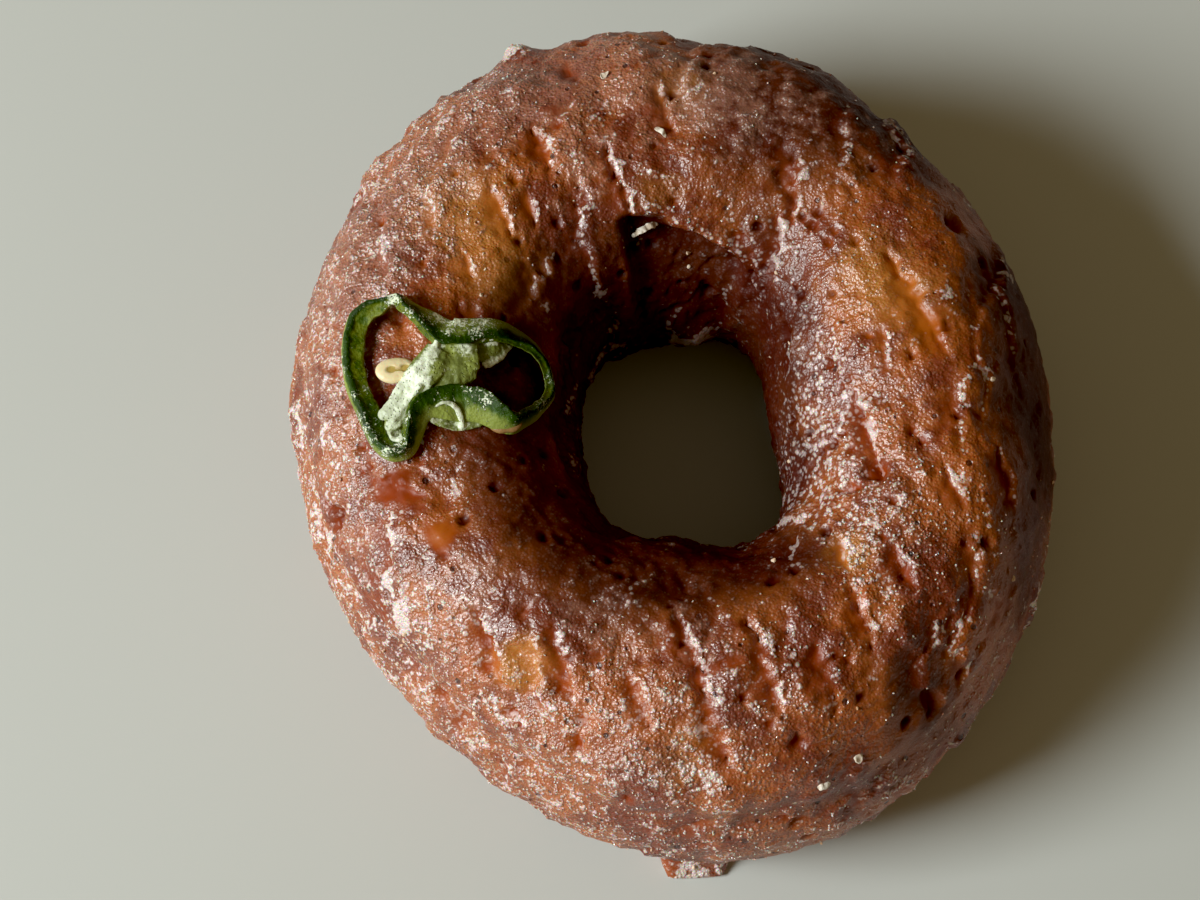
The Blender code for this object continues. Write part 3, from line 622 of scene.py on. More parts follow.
class Finish(Nodes):
    """A material, with its Principled shader and the patterns that the pieces share."""

    def __init__(self, name):
        self.material = bpy.data.materials.new(name)
        self.material.use_nodes = True
        super().__init__(self.material.node_tree)
        self.shader = self.tree.nodes["Principled BSDF"]
        self.place = self.add("ShaderNodeTexCoord", output="Object")

    def attribute(self, name):
        return self.add("ShaderNodeAttribute", {"attribute_name": name}, output="Fac")

    def noise(self, size, detail=2.0, rough=0.5, warp=0.0):
        values = {
            "Vector": self.place,
            "Scale": 1 / size,
            "Detail": detail,
            "Roughness": rough,
            "Distortion": warp,
        }
        return self.add("ShaderNodeTexNoise", {}, values, "Fac")

    def cells(self, size, output="Distance"):
        values = {"Vector": self.place, "Scale": 1 / size}
        return self.add("ShaderNodeTexVoronoi", {}, values, output)

    def step(self, value, low, high):
        """0 below low, 1 above high, smooth between; low may be the larger."""
        values = {"Value": value, "From Min": low, "From Max": high}
        return self.add("ShaderNodeMapRange", {"interpolation_type": "SMOOTHSTEP"}, values)

    def mix(self, share, first, second):
        """A colour between two others."""
        settings = {"data_type": "RGBA"}
        values = {0: share, 6: first, 7: second}
        return self.add("ShaderNodeMix", settings, values, 2)

    def finish(self, links, constants, height=None):
        """Links what varies, sets what doesn't, and gives the surface its fine relief in mm."""
        for name, value in constants.items():
            self.shader.inputs[name].default_value = value
        for name, wire in links.items():
            self.tree.links.new(wire.socket, self.shader.inputs[name])
        if height is not None:
            relief = self.add("ShaderNodeBump", {}, {"Distance": MM, "Height": height})
            self.tree.links.new(relief.socket, self.shader.inputs["Normal"])
        return self.material

    def cover_with(self, share, values):
        """Lays a second, plainer shader over a share of the first."""
        plain = self.add("ShaderNodeBsdfPrincipled", {}, values)
        wet = Wire(self, self.shader.outputs[0])
        both = self.add("ShaderNodeMixShader", {}, {0: share, 1: wet, 2: plain})
        self.tree.links.new(both.socket, self.tree.nodes["Material Output"].inputs["Surface"])


def under_skin(weight, scale, radius=None):
    """How light spreads under a surface, as values for a shader."""
    values = {"Subsurface Weight": weight, "Subsurface Scale": scale}
    return values | {"Subsurface Radius": radius} if radius else values


def solid(colour, share=1):
    """A socket's colour: a setting's colour, or so many times as bright."""
    return (*(share * c for c in colour), 1.0)


def smooth_step(low, high, value):
    share = np.clip((value - low) / (high - low), 0, 1)
    return share * share * (3 - 2 * share)


def bump(value):
    """1 at zero, falling off to nothing by about 2."""
    return np.exp(-value * value)


def angle_between(a, b):
    return (a - b + math.pi) % TURN - math.pi


def noise_field(points, size, shift=0.0):
    """Smooth noise at every point, from about -1 to 1, with lumps of the given size.

    The shift tells one pattern from another.
    """
    places = (points.reshape(-1, 3) / size + shift).tolist()
    return np.array([noise.noise(place) for place in places]).reshape(points.shape[:-1])


def noise_shift(points, size, reach, shift=7.3):
    """Points moved about by smooth noise, for ragged outlines."""
    moves = [noise_field(points, size, shift * (axis + 1)) for axis in range(3)]
    return points + reach * np.stack(moves, -1)


def lobed(radius, lobes, bearing):
    total = radius + 0 * bearing
    for count, size, first in lobes:
        total = total + size * np.cos(count * (bearing - first * DEG))
    return total


def outer_and_inner(bearing):
    """The ring's outer radius and the hole's."""
    return lobed(OUTER_RADIUS, OUTER_LOBES, bearing), lobed(HOLE_RADIUS, HOLE_LOBES, bearing)


def ring_surface(bearing, turn):
    """The smooth ring's points, for arrays of bearings and of section angles."""
    outer, inner = outer_and_inner(bearing)
    across = np.sign(np.cos(turn)) * np.abs(np.cos(turn)) ** (2 / SECTION_POWER)
    up = np.sign(np.sin(turn)) * np.abs(np.sin(turn)) ** (2 / SECTION_POWER)
    radius = (outer + inner) / 2 + (outer - inner) / 2 * across
    above = WAIST_HEIGHT + (RING_HEIGHT - WAIST_HEIGHT) * up
    below = WAIST_HEIGHT + (WAIST_HEIGHT + FOOT_CUT) * up
    height = np.maximum(np.where(up > 0, above, below), 0)
    return np.stack([radius * np.cos(bearing), radius * np.sin(bearing), height], -1)


def crown_point(bearing, reach):
    """The point of the smooth crown at a bearing and a distance from the middle of the hole."""
    outer, inner = outer_and_inner(bearing)
    across = np.clip((2 * reach - outer - inner) / (outer - inner), -1, 1)
    turn = math.acos(math.copysign(abs(across) ** (SECTION_POWER / 2), across))
    return ring_surface(np.array(bearing), np.array(turn))


def even_turns(start, stop, count):
    """Section angles from start up to stop that are evenly spaced along the section."""
    turns = np.linspace(start, stop, TURN_SAMPLES)
    points = ring_surface(np.zeros(TURN_SAMPLES), turns)
    steps = np.linalg.norm(np.diff(points, axis=0), axis=1)
    travel = np.concatenate([[0], np.cumsum(steps)])
    return np.interp(np.linspace(0, travel[-1], count, endpoint=False), travel, turns)


def grid_normals(points):
    """Outward normals of a grid that closes both ways."""
    along = np.roll(points, -1, 0) - np.roll(points, 1, 0)
    round_section = np.roll(points, -1, 1) - np.roll(points, 1, 1)
    normal = np.cross(along, round_section)
    return normal / np.maximum(np.linalg.norm(normal, axis=-1, keepdims=True), TINY)


def lump_relief(points):
    heights = sum(height * noise_field(points, size) for size, height in LUMPS)
    crown = smooth_step(FLANK_TOP, CROWN_FLOOR, points[..., 2])
    return heights * (FLANK_LUMPS + (1 - FLANK_LUMPS) * crown)


def hill_relief(points):
    """Small round hills with creases between them, from noise folded at zero."""
    heights = np.zeros(points.shape[:2])
    for size, height in HILLS:
        heights += height * (2 * np.abs(noise_field(points, size, 3.7)) - HILL_CREASE)
    return heights


def crevice_relief(points, hollow, sugar, calm):
    """Torn grooves that fall gently from the west to a steep wall, where sugar stands in a ridge, its
    white partly painted highlight on the wall that faces the light.
    """
    heights = np.zeros(points.shape[:2])
    crinkle = RIDGE_MEAN + RIDGE_SWING * noise_field(points, RIDGE_CRINKLE, 6.1)
    crinkle = np.clip(crinkle, RIDGE_LEAST, 1)
    uneven = 1 + CREVICE_UNEVEN * noise_field(points, CREVICE_GRAIN, 3.3)
    for bearing, inner, outer, drift, width, depth, white in CREVICES:
        start = crown_point(bearing * DEG, inner * MM)
        span = crown_point((bearing + drift) * DEG, outer * MM) - start
        share = (points - start) @ span / (span @ span)
        offset = points - start - np.clip(share, 0, 1)[..., None] * span
        side = np.cross(UP, span)
        side *= math.copysign(1 / np.linalg.norm(side), side[0])
        taper = 1 - CREVICE_TAPER + CREVICE_TAPER * np.sin(math.pi * np.clip(share, 0, 1))
        taper = taper * uneven
        across = offset @ side / (width * MM * taper)
        past = np.linalg.norm(offset - (offset @ side)[..., None] * side, axis=-1) / (width * MM)
        ends = smooth_step(CREVICE_ENDS, 0, past)
        west = np.clip(1 + across / CREVICE_WEST, 0, 1) ** 2
        fall = west * smooth_step(CREVICE_EAST, 0, across) * ends
        ridge = math.sqrt(white) * ends * crinkle * bump((across - RIDGE_AT) / RIDGE_WIDTH)
        heights += RIDGE_HEIGHT * ridge - CREVICE_DEPTH * depth * MM * fall
        np.maximum(hollow, CREVICE_DARK * fall**CREVICE_SPREAD * (1 - ridge), out=hollow)
        np.maximum(sugar, ridge, out=sugar)
        np.maximum(calm, bump(np.linalg.norm(offset, axis=-1) / PLATE_CALM), out=calm)
    return heights


def plate_relief(points, hollow, sugar, calm):
    """Plates like shingles: each stands up at its west edge, marked white as partly painted
    highlight, and slopes down to the next.
    """
    patches = noise_field(points, PLATE_PATCHES, 4.4)
    patches = smooth_step(-PLATE_PATCH_EDGE, PLATE_PATCH_EDGE, patches) * (1 - calm)
    heights, edges, leans = [], [], []
    for place in (points.reshape(-1, 3) / PLATES).tolist():
        distances, centres = noise.voronoi(place)
        edge = distances[1] - distances[0]
        own, other = (place[0] - centre[0] for centre in centres[:2])
        blend = 0.5 + 0.5 * min(edge / PLATE_EDGE, 1)
        heights.append(-own * blend - other * (1 - blend))
        edges.append(edge)
        leans.append(own)
    shape = points.shape[:2]
    heights, edge, lean = (np.reshape(row, shape) for row in (heights, edges, leans))
    groove = smooth_step(PLATE_EDGE, 0, edge)
    low = smooth_step(*PLATE_LEAN, lean) * smooth_step(2 * PLATE_EDGE, 0, edge)
    high = smooth_step(*PLATE_LEAN, -lean) * smooth_step(1.2 * PLATE_EDGE, 0, edge)
    np.maximum(hollow, PLATE_MARKS * patches * low, out=hollow)
    np.maximum(sugar, PLATE_MARKS * patches * high, out=sugar)
    return patches * (PLATE_STEP * heights - PLATE_GROOVE * groove)


def pit_relief(points, hollow):
    heights = np.zeros(points.shape[:2])
    draw = random.Random(PIT_SEED)
    for _ in range(PITS):
        bearing = draw.uniform(0, TURN)
        turn = draw.uniform(0, math.pi)
        width = draw.uniform(*PIT_WIDTHS)
        middle = ring_surface(np.array(bearing), np.array(turn))
        away = np.linalg.norm(points - middle, axis=-1) / width
        dip = smooth_step(*PIT_SLOPE, away)
        heights -= PIT_DEPTH * width * dip
        np.maximum(hollow, PIT_DARK * dip, out=hollow)
    for x, y, width in PIT_PLACES:
        away = away_from(points, x, y, width)
        dip = smooth_step(*PIT_PLACE_SLOPE, away) * (points[..., 2] > WAIST_HEIGHT)
        heights -= PIT_PLACE_DEPTH * width * MM * dip
        np.maximum(hollow, dip, out=hollow)
    return heights


def point_tree(points):
    """A search tree of points."""
    tree = kdtree.KDTree(len(points))
    for index, point in enumerate(points):
        tree.insert(point, index)
    tree.balance()
    return tree


def pore_relief(points, hollow):
    """Small steep pores, scattered by a seeded rule."""
    heights = np.zeros(points.shape[0] * points.shape[1])
    marks = hollow.reshape(-1)
    tree = point_tree(points.reshape(-1, 3))
    draw = random.Random(PORE_SEED)
    for _ in range(PORES):
        bearing = draw.uniform(0, TURN)
        turn = draw.uniform(*PORE_TURNS)
        radius = draw.uniform(*PORE_RADII)
        middle = ring_surface(np.array(bearing), np.array(turn))
        for _, index, away in tree.find_range(Vector(middle), PORE_REACH * radius):
            dip = float(smooth_step(*PORE_SLOPE, away / radius))
            heights[index] = min(heights[index], -PORE_DEPTH * radius * dip)
            marks[index] = max(marks[index], dip)
    return heights.reshape(points.shape[:2])


def tear_inwards(points, bearing):
    """How far every point is inside the torn edge over the hole, and how strong the tear is."""
    share = (bearing % TURN - TEAR_FROM) / (TEAR_TO - TEAR_FROM)
    edge = TEAR_EDGE_FROM + (TEAR_EDGE_TO - TEAR_EDGE_FROM) * np.clip(share, 0, 1)
    edge = edge + TEAR_RAGGED * noise_field(points, TEAR_RAGGED_SIZE, 1.9)
    spans = smooth_step(0, TEAR_FADE, share) * smooth_step(1, 1 - TEAR_FADE, share)
    return edge - np.hypot(points[..., 0], points[..., 1]), spans


def tear_relief(points, bearing, turn, sugar):
    """The torn edge over the hole: the wall under it sits back, and the edge stands up.

    The second field is how far a place is in the dark under the edge, which is painted as shade.
    """
    inwards, spans = tear_inwards(points, bearing)
    inside = (turn > TEAR_INSIDE[0]) & (turn < TEAR_INSIDE[1])
    recess = smooth_step(0, TEAR_STEP, inwards)
    recess = recess * smooth_step(TEAR_FLOOR, RING_HEIGHT, points[..., 2])
    lip = bump(inwards / TEAR_LIP_WIDTH + TEAR_LIP_AT)
    np.maximum(sugar, TEAR_SUGAR * inside * spans * lip, out=sugar)
    return inside * spans * (TEAR_LIP * lip - TEAR_DEPTH * recess), inside * spans * recess


def seam_relief(bearing, turn):
    near = bump(angle_between(bearing, SEAM_BEARING) / SEAM_SPREAD)
    groove = bump(angle_between(turn, SEAM_AT) / SEAM_WIDTH)
    skirt = bump(angle_between(turn, SKIRT_AT) / SKIRT_WIDTH)
    strength = SEAM_ELSEWHERE + (1 - SEAM_ELSEWHERE) * near
    return strength * (SKIRT_SIZE * skirt - SEAM_DEPTH * groove)


def space_field(points, spots):
    """Soft spots round places in space."""
    total = np.zeros(points.shape[:2])
    for x, y, z, reach, strength in spots:
        away = np.linalg.norm(points - np.array((x, y, z)) * MM, axis=-1) / (reach * MM)
        total += strength * bump(away)
    return total


def draw_out_foot(points, bearing, turn):
    """Draws the foot out to the hardened run of glaze, which lies flat."""
    away = np.abs(angle_between(bearing, FOOT_BEARING))
    share = smooth_step(FOOT_SPREAD, FOOT_CORE, away)
    share = share * bump(angle_between(turn, FOOT_AT) / FOOT_ROWS)
    grown = 1 + share * (FOOT_REACH / np.hypot(points[..., 0], points[..., 1]) - 1)
    return points * np.stack([grown, grown, 1 - FOOT_SINK * share], -1), share


def away_from(points, x, y, reach):
    """How far points are from a place seen from above, in units of its reach; x, y, reach in mm."""
    return np.hypot(points[..., 0] - x * MM, points[..., 1] - y * MM) / (reach * MM)


def spots_from_above(points, spots):
    """Soft spots, seen from above."""
    total = np.zeros(points.shape[:-1])
    for x, y, reach, strength in spots:
        total += strength * bump(away_from(points, x, y, reach))
    return total


def spot_field(points, spots):
    """Soft spots on the upper crust, seen from above."""
    crown = smooth_step(WAIST_HEIGHT, FLANK_TOP + 4 * MM, points[..., 2])
    return spots_from_above(points, spots) * crown


def glaze_field(smooth, bearing, turn, run):
    """How much glaze there is: in spots, in the low band, on the run, and on the west flank, partly
    painted highlight where the key light falls.
    """
    band = bump((smooth[..., 2] - BAND_AT) / BAND_WIDTH) * (bearing > math.pi)
    west = np.clip(np.cos(bearing - LIT_WEST_GLAZE[0]), 0, 1) * smooth_step(*LIT_WEST_FADE, turn)
    return spot_field(smooth, GLAZE_AND_HIGHLIGHT_SPOTS) + BAND_GLAZE * band + run + LIT_WEST_GLAZE[1] * west


def burn_and_shade_field(smooth, turn, torn):
    """How dark the crust is: burnt and shaded spots, and painted shade down the hole's wall and under
    the torn edge.
    """
    inner = np.where((turn > math.pi / 2) & (turn < INNER_TO), 1.0, 0.0)
    inner *= smooth_step(*INNER_DARK, smooth[..., 2])
    return spot_field(smooth, BURN_AND_SHADE_SPOTS) + INNER_SHADE * np.maximum(inner, torn)


def strewn_fields(smooth, sugar, above_floor, fields):
    """Where sugar grains and crumbs lie."""
    bare = 1 - np.clip(2 * fields["hollow"], 0, 1)
    clumps = noise_field(smooth, GRAIN_CLUMPS, 8.2)
    clumps = smooth_step(-GRAIN_CLUMP_EDGE, GRAIN_CLUMP_EDGE, clumps)
    grains = np.clip(fields["glaze"] + GRAIN_LEAST + sugar, 0, 1) * bare * clumps
    misty = np.clip(fields["mist"], 0, 1)
    grains *= (1 - np.clip(fields["burn_and_shade"], 0, 1)) * (1 - MIST_HIDES * misty)
    crumbs = spot_field(smooth, CRUMB_SPOTS) + space_field(smooth, LOW_CRUMBS)
    return {
        "grains": grains * smooth_step(RELIEF_FULL, WAIST_HEIGHT, smooth[..., 2]),
        "crumbs": np.clip(crumbs + CRUMB_LEAST, 0, 1) * bare * above_floor,
    }


def ring_points(settings):
    """The crust's grid of points, and what each place of it is like."""
    crown = even_turns(CROWN_FROM, CROWN_TO, settings.crown_rows)
    under = even_turns(CROWN_TO, CROWN_FROM + TURN, settings.under_rows)
    bearings = np.linspace(0, TURN, settings.columns, endpoint=False)
    bearing, turn = np.meshgrid(bearings, np.concatenate([crown, under]), indexing="ij")
    smooth = ring_surface(bearing, turn)
    hollow, sugar, calm, pores = (np.zeros(bearing.shape) for _ in range(4))
    frayed = noise_shift(smooth, *FRAYS, 2.9)
    bent = noise_shift(frayed, *BENDS)
    hills = hill_relief(noise_shift(smooth, *FRAYS, 5.5))
    relief = lump_relief(smooth) + hills
    relief += crevice_relief(frayed, hollow, sugar, calm)
    relief += plate_relief(bent, hollow, sugar, calm)
    relief += pit_relief(frayed, hollow)
    tear, torn = tear_relief(smooth, bearing, turn, sugar)
    relief += pore_relief(smooth, pores) + tear
    blebs = space_field(smooth, BLEBS)
    relief += MM * blebs + seam_relief(bearing, turn)
    above_floor = smooth_step(RELIEF_STARTS, RELIEF_FULL, smooth[..., 2])
    relief *= above_floor
    points = smooth + relief[..., None] * grid_normals(smooth)
    points, run = draw_out_foot(points, bearing, turn)
    points[..., 2] = np.maximum(points[..., 2], 0)
    glassy = smooth_step(*HOLLOW_STEP, spot_field(bent, HOLLOW_SPOTS))
    glaze = glaze_field(smooth, bearing, turn, run)
    white = sugar + spot_field(smooth, GLINT_SPOTS) + BLEB_SUGAR * blebs + RUN_SUGAR * run
    fields = {
        "hollow": np.maximum(np.maximum(hollow, pores), glassy),
        "sugar": white,
        "glaze": np.minimum(glaze, GLAZE_MOST) + HILL_GLAZE * hills,
        "mist": spot_field(frayed, MIST_SPOTS),
        "gold": spot_field(frayed, GOLD_SPOTS),
        "burn_and_shade": burn_and_shade_field(smooth, turn, torn) + PORE_SHADE * pores - blebs,
    }
    fields.update(strewn_fields(smooth, sugar, above_floor, fields))
    return points, fields


def ring_faces(columns, rows):
    """The faces of a grid that closes both ways."""
    i, j = np.meshgrid(np.arange(columns), np.arange(rows), indexing="ij")
    after, above = (i + 1) % columns, (j + 1) % rows
    corners = [i * rows + j, after * rows + j, after * rows + above, i * rows + above]
    return np.stack(corners, -1).reshape(-1, 4).tolist()


def tube_faces(stations, sides):
    """The faces of an open tube of rings, closed at both ends."""
    faces = []
    for i in range(stations - 1):
        for j in range(sides):
            after = (j + 1) % sides
            near, far = i * sides, (i + 1) * sides
            faces.append((near + j, far + j, far + after, near + after))
    last = (stations - 1) * sides
    faces.append(tuple(range(sides)))
    faces.append(tuple(last + j for j in reversed(range(sides))))
    return faces


def shifted(faces, start):
    """Faces whose points come after start others."""
    return [tuple(start + index for index in face) for face in faces]


def place_object(name, data):
    """A new object in the scene."""
    thing = bpy.data.objects.new(name, data)
    bpy.context.scene.collection.objects.link(thing)
    return thing


def mark_points(mesh, fields):
    """Stores a value at each point for every field."""
    for field, values in fields.items():
        layer = mesh.attributes.new(field, "FLOAT", "POINT")
        layer.data.foreach_set("value", np.ravel(values).astype(np.float32))


def make_piece(name, points, faces, material, fields=None):
    """A smooth mesh object of one material."""
    mesh = bpy.data.meshes.new(name)
    mesh.from_pydata(points.reshape(-1, 3).tolist(), [], faces)
    mesh.materials.append(material)
    mesh.shade_smooth()
    mark_points(mesh, fields or {})
    return place_object(name, mesh)


def settle(piece, node, slot):
    """Lets a piece stand for its node of the frame."""
    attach(piece, BODY)
    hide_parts(node)


def crust_finish(settings):
    """Fried dough under a wet glaze that has dried to fine beads, milky where it lies thick."""
    paint = Finish("glazed_crust")
    names = ("hollow", "sugar", "glaze", "gold", "mist", "burn_and_shade")
    hollow, sugar, glaze, gold, mist, burn_and_shade = (paint.attribute(name) for name in names)
    broad = paint.noise(8 * MM, 3)
    patch = paint.noise(2.6 * MM, 3, 0.55)
    clump = paint.noise(1.1 * MM, 2, 0.55)
    beads = paint.step(paint.cells(0.55 * MM), 0.75, 0.1)
    patchy, clumpy, beady = patch - 0.5, clump - 0.5, beads - 0.5
    fine = paint.step(paint.cells(0.3 * MM), 0.75, 0.1)
    tops = paint.step(fine * (0.35 + 0.65 * beads), 0.2, 0.75)

    orange = paint.step(broad + 0.6 * patchy, 0.36, 0.64)
    dough = paint.mix(orange, solid(settings.brown), solid(settings.orange))
    dough = paint.mix(paint.step(gold + 0.5 * patchy, 0.25, 0.85), dough, solid(settings.gold))
    clear = paint.mix(paint.step(gold, 0.15, 0.5), solid(settings.clear), solid(settings.orange))
    dough = paint.mix(0.9 * hollow, dough, clear)
    # Burnt crust and painted shade, where the burn and shade mark is high
    dark = paint.step(burn_and_shade + 0.8 * patchy, 0.1, 1.0)
    dough = paint.mix(0.9 * dark, dough, solid(settings.burnt_and_shade))

    bare = (1 - hollow) * (1 - 0.6 * dark) * (1 - 0.4 * gold)
    thick = glaze + 1.3 * patchy + 0.6 * (broad - 0.5) + 1.2 * clumpy
    cover = paint.step(thick, 0.05, 0.85)
    frost = paint.step(thick + 0.5 * clumpy + 0.4 * beady + 0.3 * (fine - 0.5), 0.6, 0.95)
    haze = paint.step(mist + 1.4 * patchy + 1.0 * clumpy, 0.25, 0.7)
    dough = paint.mix(0.55 * haze * (1 - hollow), dough, solid(settings.haze))
    colour = paint.mix(bare * (0.02 + 0.1 * cover), dough, solid(settings.sugar))
    colour = paint.mix(bare * tops * (0.09 + 0.3 * cover), colour, solid(settings.ridge))
    colour = paint.mix(0.7 * bare * frost, colour, solid(settings.ridge))
    # White sugar on ridges and in clusters, partly painted highlight where they face the light
    crust = paint.step(sugar + 1.0 * clumpy + 0.4 * beady, 0.25, 0.55)
    crust = crust * (1 - 0.6 * dark) * (1 - 0.7 * hollow)
    colour = paint.mix(0.85 * crust, colour, solid(settings.ridge))

    # Painted shade in small pores: dark spots over a slight dent
    holes = paint.cells(1.5 * MM)
    tone = paint.cells(1.5 * MM, output="Color")
    pore_shade = paint.step(holes + 0.5 * tone, 0.34, 0.24) * bare
    colour = paint.mix(0.85 * pore_shade, colour, solid(settings.burnt_and_shade))

    rough = 0.44 - 0.2 * tops
    beading = (0.05 + 0.04 * cover) * beads + (0.04 + 0.03 * cover) * fine + 0.04 * frost
    height = (1 - 0.9 * hollow) * beading + (0.06 + 0.12 * haze) * clump - 0.15 * pore_shade
    constants = {"IOR": 1.62, "Specular IOR Level": 0.9} | under_skin(0.8, 0.25 * MM, (1.0, 0.3, 0.1))
    material = paint.finish({"Base Color": colour, "Roughness": rough}, constants, height)
    values = {"Base Color": colour, "Roughness": 0.6, "Specular IOR Level": 0.1}
    dull = 0.85 * dark * (1 - crust) * (1 - 0.6 * cover) * (1 - hollow) + 0.9 * hollow
    paint.cover_with(dull, values)
    return material


def skin_finish(settings):
    """The chilli's wall: dark glossy skin with white flecks, and a wet-looking cut face."""
    paint = Finish("chilli_wall")
    names = ("skin", "edge", "rim", "foot", "shade", "fleck")
    skin, edge, rim, foot, shade, fleck = (paint.attribute(name) for name in names)
    patch = paint.noise(1.4 * MM, 3)
    grain = paint.noise(0.35 * MM, 3, 0.6)
    fine = paint.noise(0.26 * MM, 3, 0.65, 0.4)
    dry = paint.step(fine + 0.22 * fleck + 0.2 * (patch - 0.5), 0.63, 0.73)
    skin_colour = solid(settings.skin)
    flesh = solid(settings.flesh)
    deep = solid(settings.skin, 0.3)
    fresh = solid(settings.skin, 1.9)
    white = solid(settings.white)
    peel = paint.mix(paint.step(patch, 0.35, 0.65), skin_colour, fresh)
    peel = paint.mix(0.65 * edge, peel, deep)
    thin = solid(settings.web, 2.2)
    peel = paint.mix(0.85 * paint.step(foot + 0.7 * (patch - 0.5), 0.3, 0.75), peel, thin)
    spots = paint.step(paint.noise(0.7 * MM, 3, 0.6), 0.46, 0.6)
    cut = paint.mix(0.85 * spots, flesh, skin_colour)
    cut = paint.mix(0.35 * paint.step(grain, 0.5, 0.7), cut, solid(settings.flesh, 1.5))
    cut = paint.mix(0.75 * shade, cut, skin_colour)
    cut = paint.mix(0.7 * paint.step(rim + 0.5 * (patch - 0.5), 0.45, 0.9), cut, thin)
    colour = paint.mix(skin, cut, peel)
    colour = paint.mix(0.5 * shade, colour, deep)
    colour = paint.mix(0.9 * dry, colour, white)
    rough = 0.36 + 0.25 * grain + 0.2 * dry
    height = 0.12 * grain + 0.12 * dry + 0.1 * patch
    constants = {"IOR": 1.42, "Specular IOR Level": 0.3} | under_skin(0.1, 0.6 * MM, (0.6, 1.0, 0.1))
    return paint.finish({"Base Color": colour, "Roughness": rough}, constants, height)


def web_finish(settings):
    """The spongy web: olive where it's bare, white where its fibres have dried."""
    paint = Finish("chilli_web")
    pale = paint.attribute("pale")
    shade = paint.attribute("shade")
    patch = paint.noise(1.3 * MM, 3)
    grain = paint.noise(0.32 * MM, 3, 0.6, 0.3)
    cover = pale + 0.9 * (patch - 0.5) + 1.5 * (grain - 0.5)
    pits = paint.step(paint.cells(0.3 * MM), 0.35, 0.1) * paint.step(patch, 0.4, 0.6)
    dense = paint.step(patch, 0.35, 0.7)
    colour = paint.mix(dense, solid(settings.web), solid(settings.web, 2.0))
    colour = paint.mix(paint.step(cover, 0.2, 0.85), colour, solid(settings.white))
    colour = paint.mix(0.4 * pits, colour, solid(settings.flesh))
    colour = paint.mix(0.5 * shade, colour, solid(settings.web))
    height = 0.08 * grain - 0.12 * pits
    constants = {"Roughness": 0.45} | under_skin(0.2, 0.6 * MM, (0.8, 1.0, 0.5))
    return paint.finish({"Base Color": colour}, constants, height)


def seed_finish(settings):
    """A dried seed: cream rim, browner dented middle."""
    paint = Finish("chilli_seed")
    middle = paint.attribute("middle")
    grain = paint.noise(0.4 * MM, 3)
    share = paint.step(middle + 0.4 * (grain - 0.5), 0.15, 0.85)
    colour = paint.mix(share, solid(settings.seed), solid(settings.dent))
    # The second seed is browner, partly as painted shade
    colour = paint.mix(paint.step(middle, 1.1, 1.9), colour, solid(settings.brown_and_shade))
    constants = {"Roughness": 0.4} | under_skin(0.2, 0.5 * MM)
    return paint.finish({"Base Color": colour}, constants, 0.05 * grain)


def two_tone_finish(name, size, reach, colours, constants, rise=None):
    """A finish whose colour changes from place to place, with a low relief where it's paler."""
    paint = Finish(name)
    tone = paint.step(paint.noise(size, 2), *reach)
    colour = paint.mix(tone, *colours)
    return paint.finish({"Base Color": colour}, constants, rise and rise * tone)


def grain_finish(settings):
    """Clear sugar over dough, pale with a pink-brown tint."""
    constants = {"Roughness": 0.14, "IOR": 1.56} | under_skin(0.6, 0.5 * MM)
    colours = (solid(settings.sugar), solid(settings.ridge))
    return two_tone_finish("sugar_grain", 0.9 * MM, (0.35, 0.65), colours, constants)


def crumb_finish():
    """Dry crumbs of glaze and crust."""
    colours = ((0.62, 0.36, 0.2, 1.0), (0.8, 0.64, 0.5, 1.0))
    return two_tone_finish("crumb", 2 * MM, (0.35, 0.65), colours, {"Roughness": 0.5})


def flake_finish():
    """Dried glaze that has come loose."""
    colours = ((0.62, 0.48, 0.36, 1.0), (0.85, 0.78, 0.68, 1.0))
    return two_tone_finish("flake", 0.6 * MM, (0.3, 0.7), colours, {"Roughness": 0.45}, 0.08)


def floor_finish(settings):
    paint = Finish("pale_table")
    cloud = paint.noise(60 * MM, 3)
    pale = solid(settings.floor)
    soft = solid(settings.floor, 0.96)
    colour = paint.mix(cloud, pale, soft)
    return paint.finish({"Base Color": colour}, {"Roughness": 0.62, "Specular IOR Level": 0.3})


def curve_through(points, count, closed):
    """Rows spread evenly along a smooth curve through the given ones, by their x and y."""
    points = np.array(points, float)
    total = len(points)
    samples = []
    for i in range(total if closed else total - 1):
        near = np.arange(i - 1, i + 3)
        near = near % total if closed else np.clip(near, 0, total - 1)
        before, start, end, after = points[near]
        for share in np.linspace(0, 1, CURVE_STEPS, endpoint=False):
            bend = (2 * before - 5 * start + 4 * end - after) * share**2
            twist = (3 * start - before - 3 * end + after) * share**3
            samples.append(start + 0.5 * ((end - before) * share + bend + twist))
    samples.append(points[0] if closed else points[-1])
    samples = np.array(samples)
    steps = np.linalg.norm(np.diff(samples[:, :2], axis=0), axis=1)
    travel = np.concatenate([[0], np.cumsum(steps)])
    wanted = np.linspace(0, travel[-1], count, endpoint=not closed)
    return np.stack([np.interp(wanted, travel, column) for column in samples.T], 1)


def crust_tree():
    """A search tree of the finished crust, for what lies on it."""
    mesh = bpy.data.objects["crust_ring"].data
    points = [vertex.co for vertex in mesh.vertices]
    return BVHTree.FromPolygons(points, [face.vertices for face in mesh.polygons])


def crust_under(tree, x, y):
    """Height of the crust straight under a place."""
    hit = tree.ray_cast(Vector((x, y, 2 * RING_HEIGHT)), Vector((0, 0, -1)))[0]
    return hit.z if hit else WAIST_HEIGHT


def lift_to_clear(sections, tree):
    """How far each ring of points has to rise for all of it to be clear of the crust."""
    lift = [max(crust_under(tree, p[0], p[1]) - p[2] for p in ring) for ring in sections]
    return np.array(lift) + CLEARANCE


def smooth_round(rows, reach):
    """A closed list of rows, each the mean of its neighbours up to reach away."""
    return np.mean([np.roll(rows, k, 0) for k in range(-reach, reach + 1)], axis=0)


